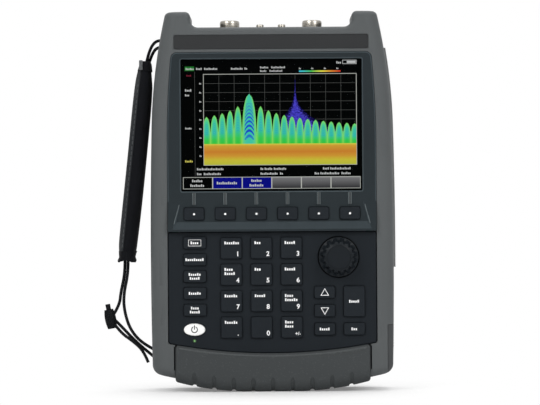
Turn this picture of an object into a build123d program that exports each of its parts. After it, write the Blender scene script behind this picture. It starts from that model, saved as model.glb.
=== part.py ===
from build123d import *

import os
from math import cos, pi, radians, sin, sqrt, tan

os.makedirs("parts", exist_ok=True)

# Handheld microwave analyzer, standing on its bumper, in millimetres.
# X runs to the right and Z up, both seen from the front, and the front faces -Y.
# The origin is on the ground under the middle of the body.
# "Forward" distances are measured from the middle of the body's depth towards the front.

# Allowances shared by all pieces
overrun = 2.0
panel_gap = 0.35
part_gap = 0.3
bumper_gap = 0.2
running_gap = 0.05

# Body: two shells with a curved outline that narrows to two ears
body_depth = 60.0
side_band_width = 13.6
base_draw_in = 1.4
shoulder_draw_in = 1.2
ear_draw_in = 12.4
waist_z = 125.0
shoulder_z = 205.0
side_edge_radius = 11.0
underside_z = 2.6
underside_radius = 366.0
bottom_edge_radius = 8.0
ear_width = 19.2
ear_rise = 12.0
ear_root_share = 0.5
ear_top_share = 0.3333
ear_edge_margin = 0.2
lip_thickness = 10.0
bay_depth = 8.0
bay_inset = 6.0
parting_back = 12.0
parting_gap = 0.2

# Hollow of the two shells
side_wall = 12.4
top_wall = 11.0
floor_height = 14.4
rear_wall = 5.0
cavity_corner_radius = 8.0
seat_depth = 4.0
seat_width = 3.0
ledge_gap = 0.4

# Dark panels in the front window
bezel_side = 10.4
panel_taper = 3.5
panel_taper_height = 70.5
panel_corner_radius = 4.6
panel_bottom_z = 29.8
panel_bottom_rise = 7.7
bezel_proud = 0.8
bezel_edge = 0.8
keypad_drop = 0.8
keypad_edge = 0.6
keypad_corner_radius = 2.0

# Bare inlay above the screen
title_inset = 2.0
title_height = 10.7
title_rise = 2.7
title_top_margin = 6.1
title_depth = 1.0
title_thickness = 0.8
title_corner_radius = 1.5

# Screen
screen_width = 139.0
screen_height = 101.4
screen_corner_radius = 1.0
screen_edge = 0.9
window_lap = 1.7
window_thickness = 1.6
display_lap = 1.6
display_gap = 0.5
display_thickness = 7.0

# Softkey ramp under the screen, with its raised lip
ramp_drop = 8.0
lip_proud = 2.2
lip_height = 1.7
pan_floor_rise = 7.5
pan_top_drop = 4.0
pan_side = 1.55
pan_spread = 4.6
pan_flare = 2.6
pan_drop = 5.7

# Keys, with the space round each group
key_proud = 2.0
key_edge = 0.5
key_corner_radius = 1.5
key_travel = 1.0
skirt_lip = 0.8
skirt_gap = 0.2
skirt_thickness = 1.0
press_gap = 0.2
soft_key_count = 6
soft_key_width = 15.4
soft_key_height = 9.6
soft_key_gap = 8.5
soft_key_margin = 12.5
soft_key_rise = 1.5
soft_key_proud = 1.7
rib_width = 2.4
rib_gap = 1.2
rib_length = 9.4
rib_clear = 1.8
rib_proud = 0.35
side_key_count = 5
side_key_width = 17.4
side_key_height = 9.0
side_key_gap = 3.9
side_left_margin = 11.9
side_top_margin = 3.9
number_column_count = 3
number_row_count = 4
number_key_size = 16.2
number_gap_x = 6.9
number_gap_z = 4.1
number_left_margin = 11.1
number_top_margin = 4.55
number_bottom_margin = 11.55
arrow_row_count = 3
arrow_width = 15.8
arrow_height = 9.3
arrow_gap = 4.8
arrow_left_margin = 9.3
arrow_top_margin = 6.15
arrow_bottom_margin = 13.4
enter_width = 16.2
enter_left_margin = 6.6
enter_right_margin = 9.3
power_width = 16.2
power_height = 9.2
power_gap = 5.8
power_shift = 0.6
led_gap = 3.0
led_radius = 1.1
led_flange = 0.8
led_proud = 0.3

# Knob and its encoder
knob_shift = 0.5
knob_top_margin = 3.7
knob_radius = 15.2
knob_rim = 1.0
knob_draft = 4.6
knob_height = 11.4
knob_flange = 1.8
knob_lift = 0.5
knob_edge = 0.6
knob_dish = 0.5
knob_crown = 3.3
flute_count = 10
flute_radius = 3.0
flute_bite = 1.5
knob_ring_gap = 1.0
knob_ring_depth = 0.6
encoder_size = 13.0
encoder_gap = 0.2
bushing_radius = 4.5
bushing_height = 5.0
shaft_radius = 3.0
shaft_heel = 1.2
shaft_end_gap = 0.2
knob_fit = 0.02
bushing_gap = 0.4

# Keypad mat and board behind the panel
mat_thickness = 1.0
dome_radius = 2.8
dome_height = 1.0
mat_side_gap = 0.45
mat_rise = 4.0
mat_top_margin = 1.4
mat_hole_gap = 0.8
board_thickness = 1.6
board_side_gap = 3.5
board_top_margin = 3.0
board_bottom_margin = 5.5
boss_radius = 1.8
boss_drop = 8.0

# Test ports between the ears
port_x = 32.0
port_back = 2.0
port_radius = 7.9
port_height = 14.6
port_collar_height = 4.0
port_collar_radius = 10.4
port_tip_edge = 0.6
port_bore_radius = 4.1
port_bore_depth = 8.0
port_pin_radius = 1.5
port_pin_drop = 1.4
port_stem_radius = 5.5
collar_side_count = 6
small_port_x = 8.4
small_port_radius = 3.1
small_port_height = 11.6
small_collar_height = 3.6
small_collar_radius = 4.6
small_tip_edge = 0.3
small_pin_hole_radius = 0.5
small_pin_hole_depth = 2.0
small_stem_radius = 2.6

# Electronics
module_side = 10.5
module_height = 44.0
module_depth = 22.0
module_edge = 1.5
module_gap = 1.0
main_board_inset = 14.0
main_board_thickness = 1.6
main_board_back = 8.0
main_board_gap = 9.0
standoff_radius = 3.0
standoff_inset = 5.0

# Battery, its door and the door's latch
battery_height = 33.0
battery_edge = 2.0
battery_left_gap = 16.0
battery_top_gap = 6.7
battery_door_thickness = 4.0
door_top_margin = 0.7
door_back_gap = 1.6
door_rim = 0.9
door_plug_depth = 1.6
latch_width = 10.0
latch_height = 12.0
latch_thickness = 2.8
latch_forward = 4.0
latch_travel = 3.0
latch_drop = 2.8
latch_sink = 2.0
latch_rib_radius = 0.6
latch_rib_count = 4
latch_rib_pitch = 2.2

# Side cover over the data ports
cover_rise = 44.0
cover_top_rise = 3.0
cover_front_gap = 3.0
cover_back_gap = 2.0
cover_proud = 1.4
cover_sink = 1.8
ports_wall = 2.0
ports_margin = 4.0
ports_set_back = 1.2
socket_depth = 2.2
socket_gap = 12.0
socket_lengths = (13.2, 13.2, 16.0, 8.6)
socket_widths = (5.8, 5.8, 13.2, 4.0)

# Fold-out stand in the back
stand_inset = 28.0
stand_height = 112.0
stand_thickness = 4.6
stand_drop = 89.0
stand_axis_depth = 3.0
stand_floor_gap = 1.1
stand_margin = 1.0
stand_corner_radius = 6.0
stand_pan_wall = 3.0
stand_pin_radius = 2.0
stand_pin_length = 3.0
stand_notch_radius = 12.0
stand_pin_gap = 0.3

# Housing screws
screw_radius = 1.5
screw_head_radius = 3.0
screw_head_height = 2.4
screw_head_gap = 0.3
screw_bite = 9.2
screw_end_gap = 3.4
screw_sink = 1.2
screw_boss_radius = 5.0
screw_boss_wall = 1.4
ear_screw_inset = 10.2
wall_screw_inset = 4.0
upper_screw_rise = 17.0
lower_screw_rise = 9.7

# Bumper under the body
bumper_side = 17.2
bumper_proud = 1.5
bumper_wall = 5.0
bumper_sole = 3.6
bumper_rise = 7.7
tread_half_width = 18.0
bumper_edge_radius = 9.0
bumper_lip_radius = 2.6
groove_margin = 14.6
groove_side_count = 4
short_groove_side_count = 1
groove_radius = 2.0
groove_depth = 1.3
groove_lead_angle = 10.0
groove_top_angle = 70.0
groove_run = 8.0

# Hand strap on the left: padded sleeve on a cord loop, measured outwards from the body's waist
pad_top_drop = 8.0
pad_length = 152.0
pad_top_out = 3.6
pad_bottom_out = 19.6
pad_bow = 0.6
pad_top_thickness = 9.6
pad_thickness = 13.4
pad_top_width = 36.0
pad_width = 44.0
pad_crown_share = 0.16
pad_section_shares = (0, 0.09, 0.3, 0.62, 0.9, 1)
pad_swell_shares = (0, 0.6, 0.95, 1, 0.85, 0.75)
cord_radius = 1.2
cord_apart = 1.5
cord_hole_gap = 0.3
cord_bend_share = 0.45
lock_out = 32.4
lock_drop_share = 0.64448
lock_radius = 4.5
lock_end_radius = 3.4
lock_length = 15.0
lock_tilt_angle = 11.0
plunger_radius = 1.9
plunger_length = 8.2
plunger_proud = 4.2
plunger_travel = 1.5
plunger_gap = 0.2

# Cord holes in the body, and the strands' bends: how far out, and how far down from pad to hole
upper_hole_drop = 1.2
second_hole_drop = 6.8
upper_bend_rise = 11.2
second_bend_rise = 6.6
upper_strand_outs = (-10.6, -2.0, 3.4, 3.4)
second_strand_outs = (-11.2, -2.8, 2.0, 2.0)
body_hole_z = 30.4
return_hole_drop = 6.8
body_strand_outs = (18.4, 18.4, 22.0, 21.8, 17.2, 6.9, -4.0)
body_strand_shares = (0, 0.14164, 0.36827, 0.54533, 0.76487, 0.92635, 1)
lock_strand_outs = (21.0, 21.0, 24.4, 25.4)
lock_strand_shares = (0, 0.14164, 0.35411, 0.48867)
lock_strand_inset = 2.6
lock_strand_lift = 3.9
return_strand_outs = (24.2, 10.6)
return_strand_shares = (0.72521, 0.93201)
return_strand_inset = 2.4
return_strand_lift = 0.1
return_hole_out = -4.0
tail_strand_outs = (24.0, 15.0, 6.8, 3.2)
tail_strand_shares = (0.8017, 0.88952, 0.99717, 1.12465)
tail_strand_inset = 3.0

# Keypad layout: each group's size, then the panel that holds the widest and the tallest
soft_key_pitch = soft_key_width + soft_key_gap
side_key_pitch = side_key_height + side_key_gap
number_pitch_x = number_key_size + number_gap_x
number_pitch_z = number_key_size + number_gap_z
arrow_pitch = arrow_height + arrow_gap
enter_height = arrow_height + arrow_pitch
soft_group_width = soft_key_count * soft_key_pitch - soft_key_gap
side_group_height = side_key_count * side_key_pitch - side_key_gap
number_group_width = number_column_count * number_pitch_x - number_gap_x
number_group_height = number_row_count * number_pitch_z - number_gap_z
arrow_group_height = arrow_row_count * arrow_pitch - arrow_gap
left_group_width = side_left_margin + side_key_width + number_left_margin + number_group_width
right_group_width = arrow_left_margin + arrow_width + enter_left_margin + enter_width + enter_right_margin
keys_width = left_group_width + right_group_width
screen_frame_width = screen_width + 2 * bezel_side
soft_frame_width = soft_group_width + 2 * soft_key_margin
panel_half_width = max(keys_width, screen_frame_width, soft_frame_width) / 2
side_key_x = side_left_margin + side_key_width / 2 - keys_width / 2
number_x = side_key_x + side_key_width / 2 + number_left_margin + number_group_width / 2
arrow_x = number_x + number_group_width / 2 + arrow_left_margin + arrow_width / 2
enter_x = arrow_x + arrow_width / 2 + enter_left_margin + enter_width / 2
knob_x = (arrow_x + enter_x) / 2 - knob_shift
power_x = side_key_x - power_shift
knob_ring_radius = knob_radius + knob_ring_gap
number_stack = number_top_margin + number_group_height + number_bottom_margin
arrow_stack = arrow_top_margin + arrow_group_height + arrow_bottom_margin
knob_stack = knob_top_margin + 2 * knob_ring_radius + arrow_stack
led_floor = panel_bottom_rise * (power_x / panel_half_width) ** 2 + seat_width + part_gap
led_stack = led_gap + 2 * led_radius + led_flange + led_floor
side_stack = side_top_margin + side_group_height + power_gap + power_height + led_stack
panel_split_z = panel_bottom_z + max(number_stack, knob_stack, side_stack)
side_key_z = panel_split_z - side_top_margin - side_group_height / 2
number_z = panel_split_z - number_top_margin - number_group_height / 2
power_z = side_key_z - side_group_height / 2 - power_gap - power_height / 2
led_z = power_z - power_height / 2 - led_gap - led_radius
knob_z = panel_split_z - knob_top_margin - knob_ring_radius
arrow_z = knob_z - knob_ring_radius - arrow_top_margin - arrow_group_height / 2

# Ramp, screen and the heights above them
pan_floor_z = panel_split_z + pan_floor_rise
soft_key_z = pan_floor_z + soft_key_rise + soft_key_height / 2
soft_key_top_z = soft_key_z + soft_key_height / 2
rib_bottom_z = soft_key_top_z + rib_gap
rib_top_z = rib_bottom_z + rib_length
screen_bottom_z = rib_top_z + rib_clear
screen_z = screen_bottom_z + screen_height / 2
ramp_top_z = screen_bottom_z - ramp_drop
pan_top_z = screen_bottom_z - pan_top_drop
pan_top_half_width = soft_group_width / 2 + pan_side
pan_floor_half_width = pan_top_half_width + pan_spread
panel_top_z = screen_bottom_z + screen_height + display_lap + display_gap + seat_width
panel_taper_z = panel_top_z - panel_taper_height
title_width = 2 * (panel_half_width - panel_taper - title_inset)
title_z = panel_top_z + title_rise + title_height / 2
lip_z = panel_top_z + title_rise + title_height + title_top_margin
ear_top_z = lip_z + ear_rise
bay_floor_z = lip_z - bay_depth
window_width = screen_width + 2 * window_lap
window_height = screen_height + 2 * window_lap

# Widths of the body, which follow the panel
waist_half_width = panel_half_width + side_band_width
base_half_width = waist_half_width - base_draw_in
shoulder_half_width = waist_half_width - shoulder_draw_in
ear_half_width = waist_half_width - ear_draw_in
ear_gap_half = ear_half_width - ear_width
bay_half_width = ear_gap_half - bay_inset
ear_root_radius = ear_rise * ear_root_share
ear_top_radius = ear_rise * ear_top_share
ear_inner_edge_radius = ear_top_radius + ear_edge_margin

# Depths, forward of the middle, from the panel back to the board
front = body_depth / 2
seat_forward = front - seat_depth
bezel_front = front + bezel_proud
ramp_front = bezel_front + lip_proud
keypad_front = front - keypad_drop
skirt_front = seat_forward - skirt_gap
skirt_rear = skirt_front - skirt_thickness
mat_front = skirt_rear - key_travel - press_gap - dome_height
mat_rear = mat_front - mat_thickness
board_rear = mat_rear - board_thickness
cavity_front = mat_rear + ledge_gap
seat_thickness = seat_forward - cavity_front
cavity_rear = rear_wall - front
cavity_half_width = shoulder_half_width - side_wall
cavity_top_z = bay_floor_z - top_wall
cavity_floor_z = underside_z + floor_height
knob_flank_radius = knob_radius - knob_rim
knob_top_radius = knob_flank_radius - knob_draft
knob_seat = keypad_front + knob_lift
knob_front = knob_seat + knob_height
encoder_front = seat_forward - encoder_gap
bushing_front = encoder_front + bushing_height
shaft_rear = mat_rear + shaft_heel
shaft_front = knob_front - knob_crown

# Mat, boards and module inside
boss_x = (keys_width / 2 - enter_right_margin + skirt_lip + panel_half_width - seat_width) / 2
mat_half_width = boss_x - boss_radius - mat_side_gap
mat_bottom_z = panel_bottom_z + panel_bottom_rise + mat_rise
mat_top_z = soft_key_top_z + mat_top_margin
mat_hole_radius = encoder_size / sqrt(2) + mat_hole_gap
board_half_width = cavity_half_width - board_side_gap
board_bottom_z = mat_bottom_z - board_bottom_margin
board_top_z = mat_top_z + board_top_margin
port_top_z = bay_floor_z + port_height
small_port_top_z = bay_floor_z + small_port_height
module_width = 2 * (port_x + port_stem_radius + module_side)
module_top_z = cavity_top_z - module_gap
module_z = module_top_z - module_height / 2

# Battery, its door and the latch
battery_z = cavity_floor_z + part_gap + battery_height / 2
battery_top_z = battery_z + battery_height / 2
battery_door_x = base_half_width - battery_door_thickness
battery_door_z = battery_top_z + door_top_margin
battery_door_back = parting_back - door_back_gap
battery_depth = 2 * (battery_door_back - door_rim)
battery_end_x = battery_door_x - door_plug_depth - 2 * part_gap
battery_length = battery_end_x + cavity_half_width - battery_left_gap
latch_x = base_half_width - latch_sink
latch_z = battery_z - latch_drop
main_board_width = 2 * (cavity_half_width - main_board_inset)
main_board_top_z = module_top_z - module_height - main_board_gap
main_board_bottom_z = battery_top_z + battery_top_gap
main_board_height = main_board_top_z - main_board_bottom_z
main_board_z = (main_board_top_z + main_board_bottom_z) / 2

# Side cover and the sockets behind it
cover_bottom_z = battery_door_z + cover_rise
cover_top_z = cavity_top_z + cover_top_rise
cover_front = front - side_edge_radius - cover_front_gap
cover_back = parting_back - cover_back_gap
cover_z = (cover_bottom_z + cover_top_z) / 2
ports_x = cavity_half_width + ports_wall
ports_bottom_z = cover_bottom_z + ports_margin
ports_top_z = cover_top_z - 2 * ports_margin
ports_z = (ports_bottom_z + ports_top_z) / 2
ports_width = cover_front + cover_back - 2 * ports_margin

# Stand, screws and bumper
stand_width = 2 * (cavity_half_width - stand_inset)
stand_half_thickness = stand_thickness / 2
stand_axis_z = cavity_top_z - stand_drop
stand_axis_forward = stand_axis_depth - front
stand_pan_depth = stand_axis_depth + stand_half_thickness + stand_floor_gap
stand_pan_width = stand_width + 2 * stand_margin
stand_pan_height = stand_height + stand_half_thickness + 2 * stand_margin
stand_pan_z = stand_axis_z + stand_half_thickness + stand_margin - stand_pan_height / 2
screw_seat = front - screw_sink - screw_head_height
screw_hole_depth = screw_bite + screw_end_gap
screw_boss_reach = screw_hole_depth + screw_boss_wall
ear_screw_x = ear_half_width - ear_screw_inset
wall_screw_x = cavity_half_width - wall_screw_inset
upper_screw_z = panel_split_z + upper_screw_rise
lower_screw_z = battery_top_z + lower_screw_rise
bumper_half_width = base_half_width - bumper_side
bumper_half_depth = front + bumper_proud
bumper_inner = bumper_half_depth - bumper_wall
groove_pitch = (bumper_half_width - groove_margin) / groove_side_count

# Strap
pad_top_z = cavity_top_z - pad_top_drop
pad_bottom_z = pad_top_z - pad_length
pad_top_x = -waist_half_width - pad_top_out
pad_bottom_x = -waist_half_width - pad_bottom_out
strap_drop = pad_bottom_z - body_hole_z
lock_x = -waist_half_width - lock_out
lock_z = pad_bottom_z - lock_drop_share * strap_drop


def strand_points(outs, y, heights):
    """Points of a strand, each so far out from the waist and at its own height."""
    return [(-waist_half_width - out, y, z) for out, z in zip(outs, heights)]


def strap_heights(shares):
    """Heights between the foot of the pad and the cord hole in the body."""
    return [pad_bottom_z - share * strap_drop for share in shares]


# Routes of the strap's strands, from the body, the pad or the lock outwards
upper_hole_z = bay_floor_z - upper_hole_drop
second_hole_z = bay_floor_z - second_hole_drop
return_hole_z = body_hole_z - return_hole_drop
upper_strand = strand_points(
    upper_strand_outs, -cord_apart, (upper_hole_z, upper_hole_z, pad_top_z + upper_bend_rise, pad_top_z)
)
second_strand = strand_points(
    second_strand_outs, cord_apart, (second_hole_z, second_hole_z, pad_top_z + second_bend_rise, pad_top_z)
)
body_strand = strand_points(body_strand_outs, -cord_apart, strap_heights(body_strand_shares))
lock_strand = [
    *strand_points(lock_strand_outs, cord_apart, strap_heights(lock_strand_shares)),
    (lock_x + lock_strand_inset, cord_apart, lock_z + lock_strand_lift),
]
return_strand = [
    (lock_x + return_strand_inset, cord_apart, lock_z + return_strand_lift),
    *strand_points(return_strand_outs, cord_apart, strap_heights(return_strand_shares)),
    (-waist_half_width - return_hole_out, cord_apart, return_hole_z),
]
tail_strand = [
    (lock_x + tail_strand_inset, -cord_apart, lock_z - lock_strand_lift),
    *strand_points(tail_strand_outs, -cord_apart, strap_heights(tail_strand_shares)),
]


def facing(forward):
    """Plane parallel to the front, that far forward of the middle; it extrudes forward."""
    return Plane.XZ.offset(forward)


def strand_end(strand):
    """Plane across the first end of a strand, looking along the strand."""
    return Plane(origin=strand[0], z_dir=Vector(*strand[1]) - Vector(*strand[0]))


def bend_radii(points):
    """Radius of each bend of a cord, as easy as the shorter of its two runs allows."""
    radii = []
    for before, here, after in zip(points, points[1:], points[2:]):
        arrive = Vector(*here) - Vector(*before)
        leave = Vector(*after) - Vector(*here)
        turn = radians(arrive.get_angle(leave))
        radii.append(cord_bend_share * min(arrive.length, leave.length) / tan(turn / 2))
    return radii


def groove_route(x, forward_sign, short):
    """Centre line of one bumper groove: in under the sole, round the rolled edge and out again."""
    reach = bumper_edge_radius + groove_radius - groove_depth
    back = forward_sign * (bumper_edge_radius - bumper_half_depth)
    centre = Vector(x, back, sole_z(x) + bumper_edge_radius)
    lead = radians(groove_lead_angle) if short else 0
    top = radians(groove_top_angle)

    def out(angle):
        return Vector(0, -forward_sign * sin(angle), -cos(angle))

    def along(angle):
        return Vector(0, -forward_sign * cos(angle), sin(angle))

    first = centre + out(lead) * reach
    last = centre + out(top) * reach
    run_in = groove_run if short else bumper_half_depth
    with BuildLine() as route:
        Line(first - along(lead) * run_in, first)
        ThreePointArc(first, centre + out((lead + top) / 2) * reach, last)
        Line(last, last + along(top) * groove_run)
    return route.line


def pan_face(flare, drop):
    """Tray of the softkeys from the front, wider by a flare at its sides and deeper by a drop."""
    low = pan_floor_z - drop
    with BuildSketch() as face:
        with BuildLine():
            Polyline(
                (-pan_top_half_width - flare, pan_top_z),
                (pan_top_half_width + flare, pan_top_z),
                (pan_floor_half_width + flare, low),
                (-pan_floor_half_width - flare, low),
                close=True,
            )
        make_face()
    return face.sketch


def finish(block, name):
    """Label the piece and write it under its own name."""
    block.part.label = name
    export_step(block.part, f"parts/{name}.step")


def body_face(inset):
    """Outline of the body from the front, drawn in by inset at both sides."""
    with BuildSketch() as face:
        with BuildLine():
            lower = ThreePointArc(
                (base_half_width - inset, 0),
                (waist_half_width - inset, waist_z),
                (shoulder_half_width - inset, shoulder_z),
            )
            upper = TangentArc(lower @ 1, (ear_half_width - inset, ear_top_z), tangent=lower % 1)
            mirror(about=Plane.YZ)
            Line(upper @ 1, (inset - ear_half_width, ear_top_z))
            Line((inset - base_half_width, 0), lower @ 0)
        make_face()
    return face.sketch


def panel_face(grow):
    """Outline of the dark front panels together, grown on every side."""
    half = panel_half_width + grow
    top = (half - panel_taper, panel_top_z + grow)
    low = (half, panel_bottom_z + panel_bottom_rise - grow)
    with BuildSketch() as face:
        with BuildLine():
            side = Line(low, (half, panel_taper_z))
            taper = TangentArc(side @ 1, top, tangent=side % 1)
            mirror(about=Plane.YZ)
            Line(taper @ 1, (-top[0], top[1]))
            ThreePointArc((-low[0], low[1]), (0, panel_bottom_z - grow), low)
        make_face()
        fillet(face.vertices().group_by(Axis.Y)[-1], radius=panel_corner_radius + grow)
        fillet(face.vertices().group_by(Axis.Y)[0], radius=keypad_corner_radius + max(grow, 0))
    return face.sketch


def bumper_face(half, top_drop):
    """Outline of the bumper from the front: flat tread, rising ends and a top that follows the panel."""
    top_side = panel_bottom_z + panel_bottom_rise * (half / panel_half_width) ** 2 - top_drop
    with BuildSketch() as face:
        with BuildLine():
            tread = Line((0, 0), (tread_half_width, 0))
            sole = TangentArc(tread @ 1, (half, bumper_rise), tangent=tread % 1)
            Line(sole @ 1, (half, top_side))
            mirror(about=Plane.YZ)
            ThreePointArc((-half, top_side), (0, panel_bottom_z - top_drop), (half, top_side))
        make_face()
    return face.sketch


def sole_z(x):
    """Height of the bumper's underside above the ground at this distance from the middle."""
    run = bumper_half_width - tread_half_width
    radius = (run**2 + bumper_rise**2) / (2 * bumper_rise)
    out = max(abs(x) - tread_half_width, 0)
    return radius - sqrt(radius**2 - out**2)


def bumper_seat():
    """Step round the foot of the shells that the bumper sits in, with its clearance."""
    half = bumper_half_width + bumper_gap
    wall = front + overrun - bumper_inner + bumper_gap
    with BuildPart() as seat:
        with BuildSketch(facing(-front - overrun)):
            with Locations((0, cavity_floor_z / 2 - overrun)):
                Rectangle(2 * half, cavity_floor_z)
            with Locations((0, underside_z + underside_radius)):
                Circle(underside_radius - bumper_sole - bumper_gap, mode=Mode.SUBTRACT)
        extrude(amount=body_depth + 2 * overrun)
        for start in (bumper_inner - bumper_gap, -front - overrun):
            with BuildSketch(facing(start)):
                add(bumper_face(half, -bumper_gap))
            extrude(amount=wall)
    return seat.part


screw_places = [
    (side * x, z)
    for x, z in ((ear_screw_x, bay_floor_z), (wall_screw_x, upper_screw_z), (wall_screw_x, lower_screw_z))
    for side in (-1, 1)
]
wall_screw_places = screw_places[2:]

# Key places, from the left and from the top of each group
soft_key_xs = [(i - (soft_key_count - 1) / 2) * soft_key_pitch for i in range(soft_key_count)]
side_key_zs = [side_key_z + ((side_key_count - 1) / 2 - i) * side_key_pitch for i in range(side_key_count)]
number_xs = [
    number_x + (i - (number_column_count - 1) / 2) * number_pitch_x for i in range(number_column_count)
]
number_zs = [number_z + ((number_row_count - 1) / 2 - i) * number_pitch_z for i in range(number_row_count)]
arrow_zs = [arrow_z + step * arrow_pitch for step in (1, 0, -1)]
enter_z = (arrow_zs[0] + arrow_zs[1]) / 2

panel_keys = {}
for name, z in zip(("mode", "frequency", "scale", "marker", "tools"), side_key_zs):
    panel_keys[f"{name}_key"] = (side_key_x, z, side_key_width, side_key_height)
number_names = ("1", "2", "3", "4", "5", "6", "7", "8", "9", "point", "0", "sign")
for i, name in enumerate(number_names):
    row, column = divmod(i, number_column_count)
    panel_keys[f"key_{name}"] = (number_xs[column], number_zs[row], number_key_size, number_key_size)
for name, z in zip(("up", "down", "back"), arrow_zs):
    panel_keys[f"{name}_key"] = (arrow_x, z, arrow_width, arrow_height)
panel_keys["enter_key"] = (enter_x, enter_z, enter_width, enter_height)
panel_keys["escape_key"] = (enter_x, arrow_zs[2], enter_width, arrow_height)
soft_keys = {
    f"softkey_{i + 1}": (x, soft_key_z, soft_key_width, soft_key_height) for i, x in enumerate(soft_key_xs)
}

boss_places = [
    (side * boss_x, z)
    for side in (-1, 1)
    for z in (mat_bottom_z + boss_drop, panel_split_z - boss_drop)
]
dome_places = [(x, z) for x, z, _, _ in (*soft_keys.values(), *panel_keys.values())] + [(power_x, power_z)]
board_post_x = main_board_width / 2 - standoff_inset
board_post_rise = main_board_height / 2 - standoff_inset
board_post_places = [
    (side * board_post_x, main_board_z + end * board_post_rise) for side in (-1, 1) for end in (-1, 1)
]
module_post_x = module_width / 2 - standoff_inset
module_post_rise = module_height / 2 - standoff_inset
module_post_places = [
    (side * module_post_x, module_z + end * module_post_rise) for side in (-1, 1) for end in (-1, 1)
]
lock_axis = Vector(-sin(radians(lock_tilt_angle)), 0, cos(radians(lock_tilt_angle)))
lock_plane = Plane(
    origin=(lock_x, 0, lock_z),
    x_dir=(cos(radians(lock_tilt_angle)), 0, sin(radians(lock_tilt_angle))),
    z_dir=(0, -1, 0),
)
plunger_plane = Plane(
    origin=Vector(lock_x, 0, lock_z)
    + lock_axis * (lock_length / 2 + plunger_proud - plunger_length - plunger_travel - plunger_gap),
    z_dir=lock_axis,
)

# Moulded body that both shells are cut from
with BuildPart() as body_blank:
    with BuildSketch(facing(-front)):
        add(body_face(0))
    extrude(amount=body_depth)
    fillet(body_blank.edges().filter_by(GeomType.CIRCLE), radius=side_edge_radius)
    with BuildSketch(facing(-front - overrun)):
        with Locations((0, underside_z + underside_radius)):
            Circle(underside_radius)
    extrude(amount=body_depth + 2 * overrun, mode=Mode.INTERSECT)
    fillet(body_blank.faces().sort_by(Axis.Z)[0].edges(), radius=bottom_edge_radius)
    valley_height = ear_top_z + overrun - lip_z
    with BuildSketch(facing(-front - overrun)) as valley:
        with Locations((0, lip_z + valley_height / 2)):
            Rectangle(2 * ear_gap_half, valley_height)
        fillet(valley.vertices().group_by(Axis.Y)[0], radius=ear_root_radius)
    extrude(amount=body_depth + 2 * overrun, mode=Mode.SUBTRACT)
    blank_faces = body_blank.faces().sort_by(Axis.Y)
    rims = blank_faces[0].edges() + blank_faces[-1].edges()
    rims = rims.filter_by_position(Axis.Z, lip_z - overrun, ear_top_z)
    rims = rims.filter_by_position(Axis.X, -ear_gap_half - overrun, ear_gap_half + overrun)
    fillet(rims, radius=ear_inner_edge_radius)
    fillet(body_blank.faces().filter_by(Axis.Z).group_by(Axis.Z)[-1].edges(), radius=ear_top_radius)
    with BuildSketch(Plane.XY.offset(bay_floor_z)):
        with Locations((0, lip_thickness / 2 + overrun / 2)):
            Rectangle(2 * bay_half_width, body_depth - lip_thickness + overrun)
    extrude(amount=ear_top_z - bay_floor_z, mode=Mode.SUBTRACT)

# Hollow shared by both shells
with BuildPart() as cavity:
    with BuildSketch(facing(cavity_rear)):
        with Locations((0, (cavity_top_z + cavity_floor_z) / 2)):
            RectangleRounded(2 * cavity_half_width, cavity_top_z - cavity_floor_z, cavity_corner_radius)
    extrude(amount=cavity_front - cavity_rear)

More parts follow.
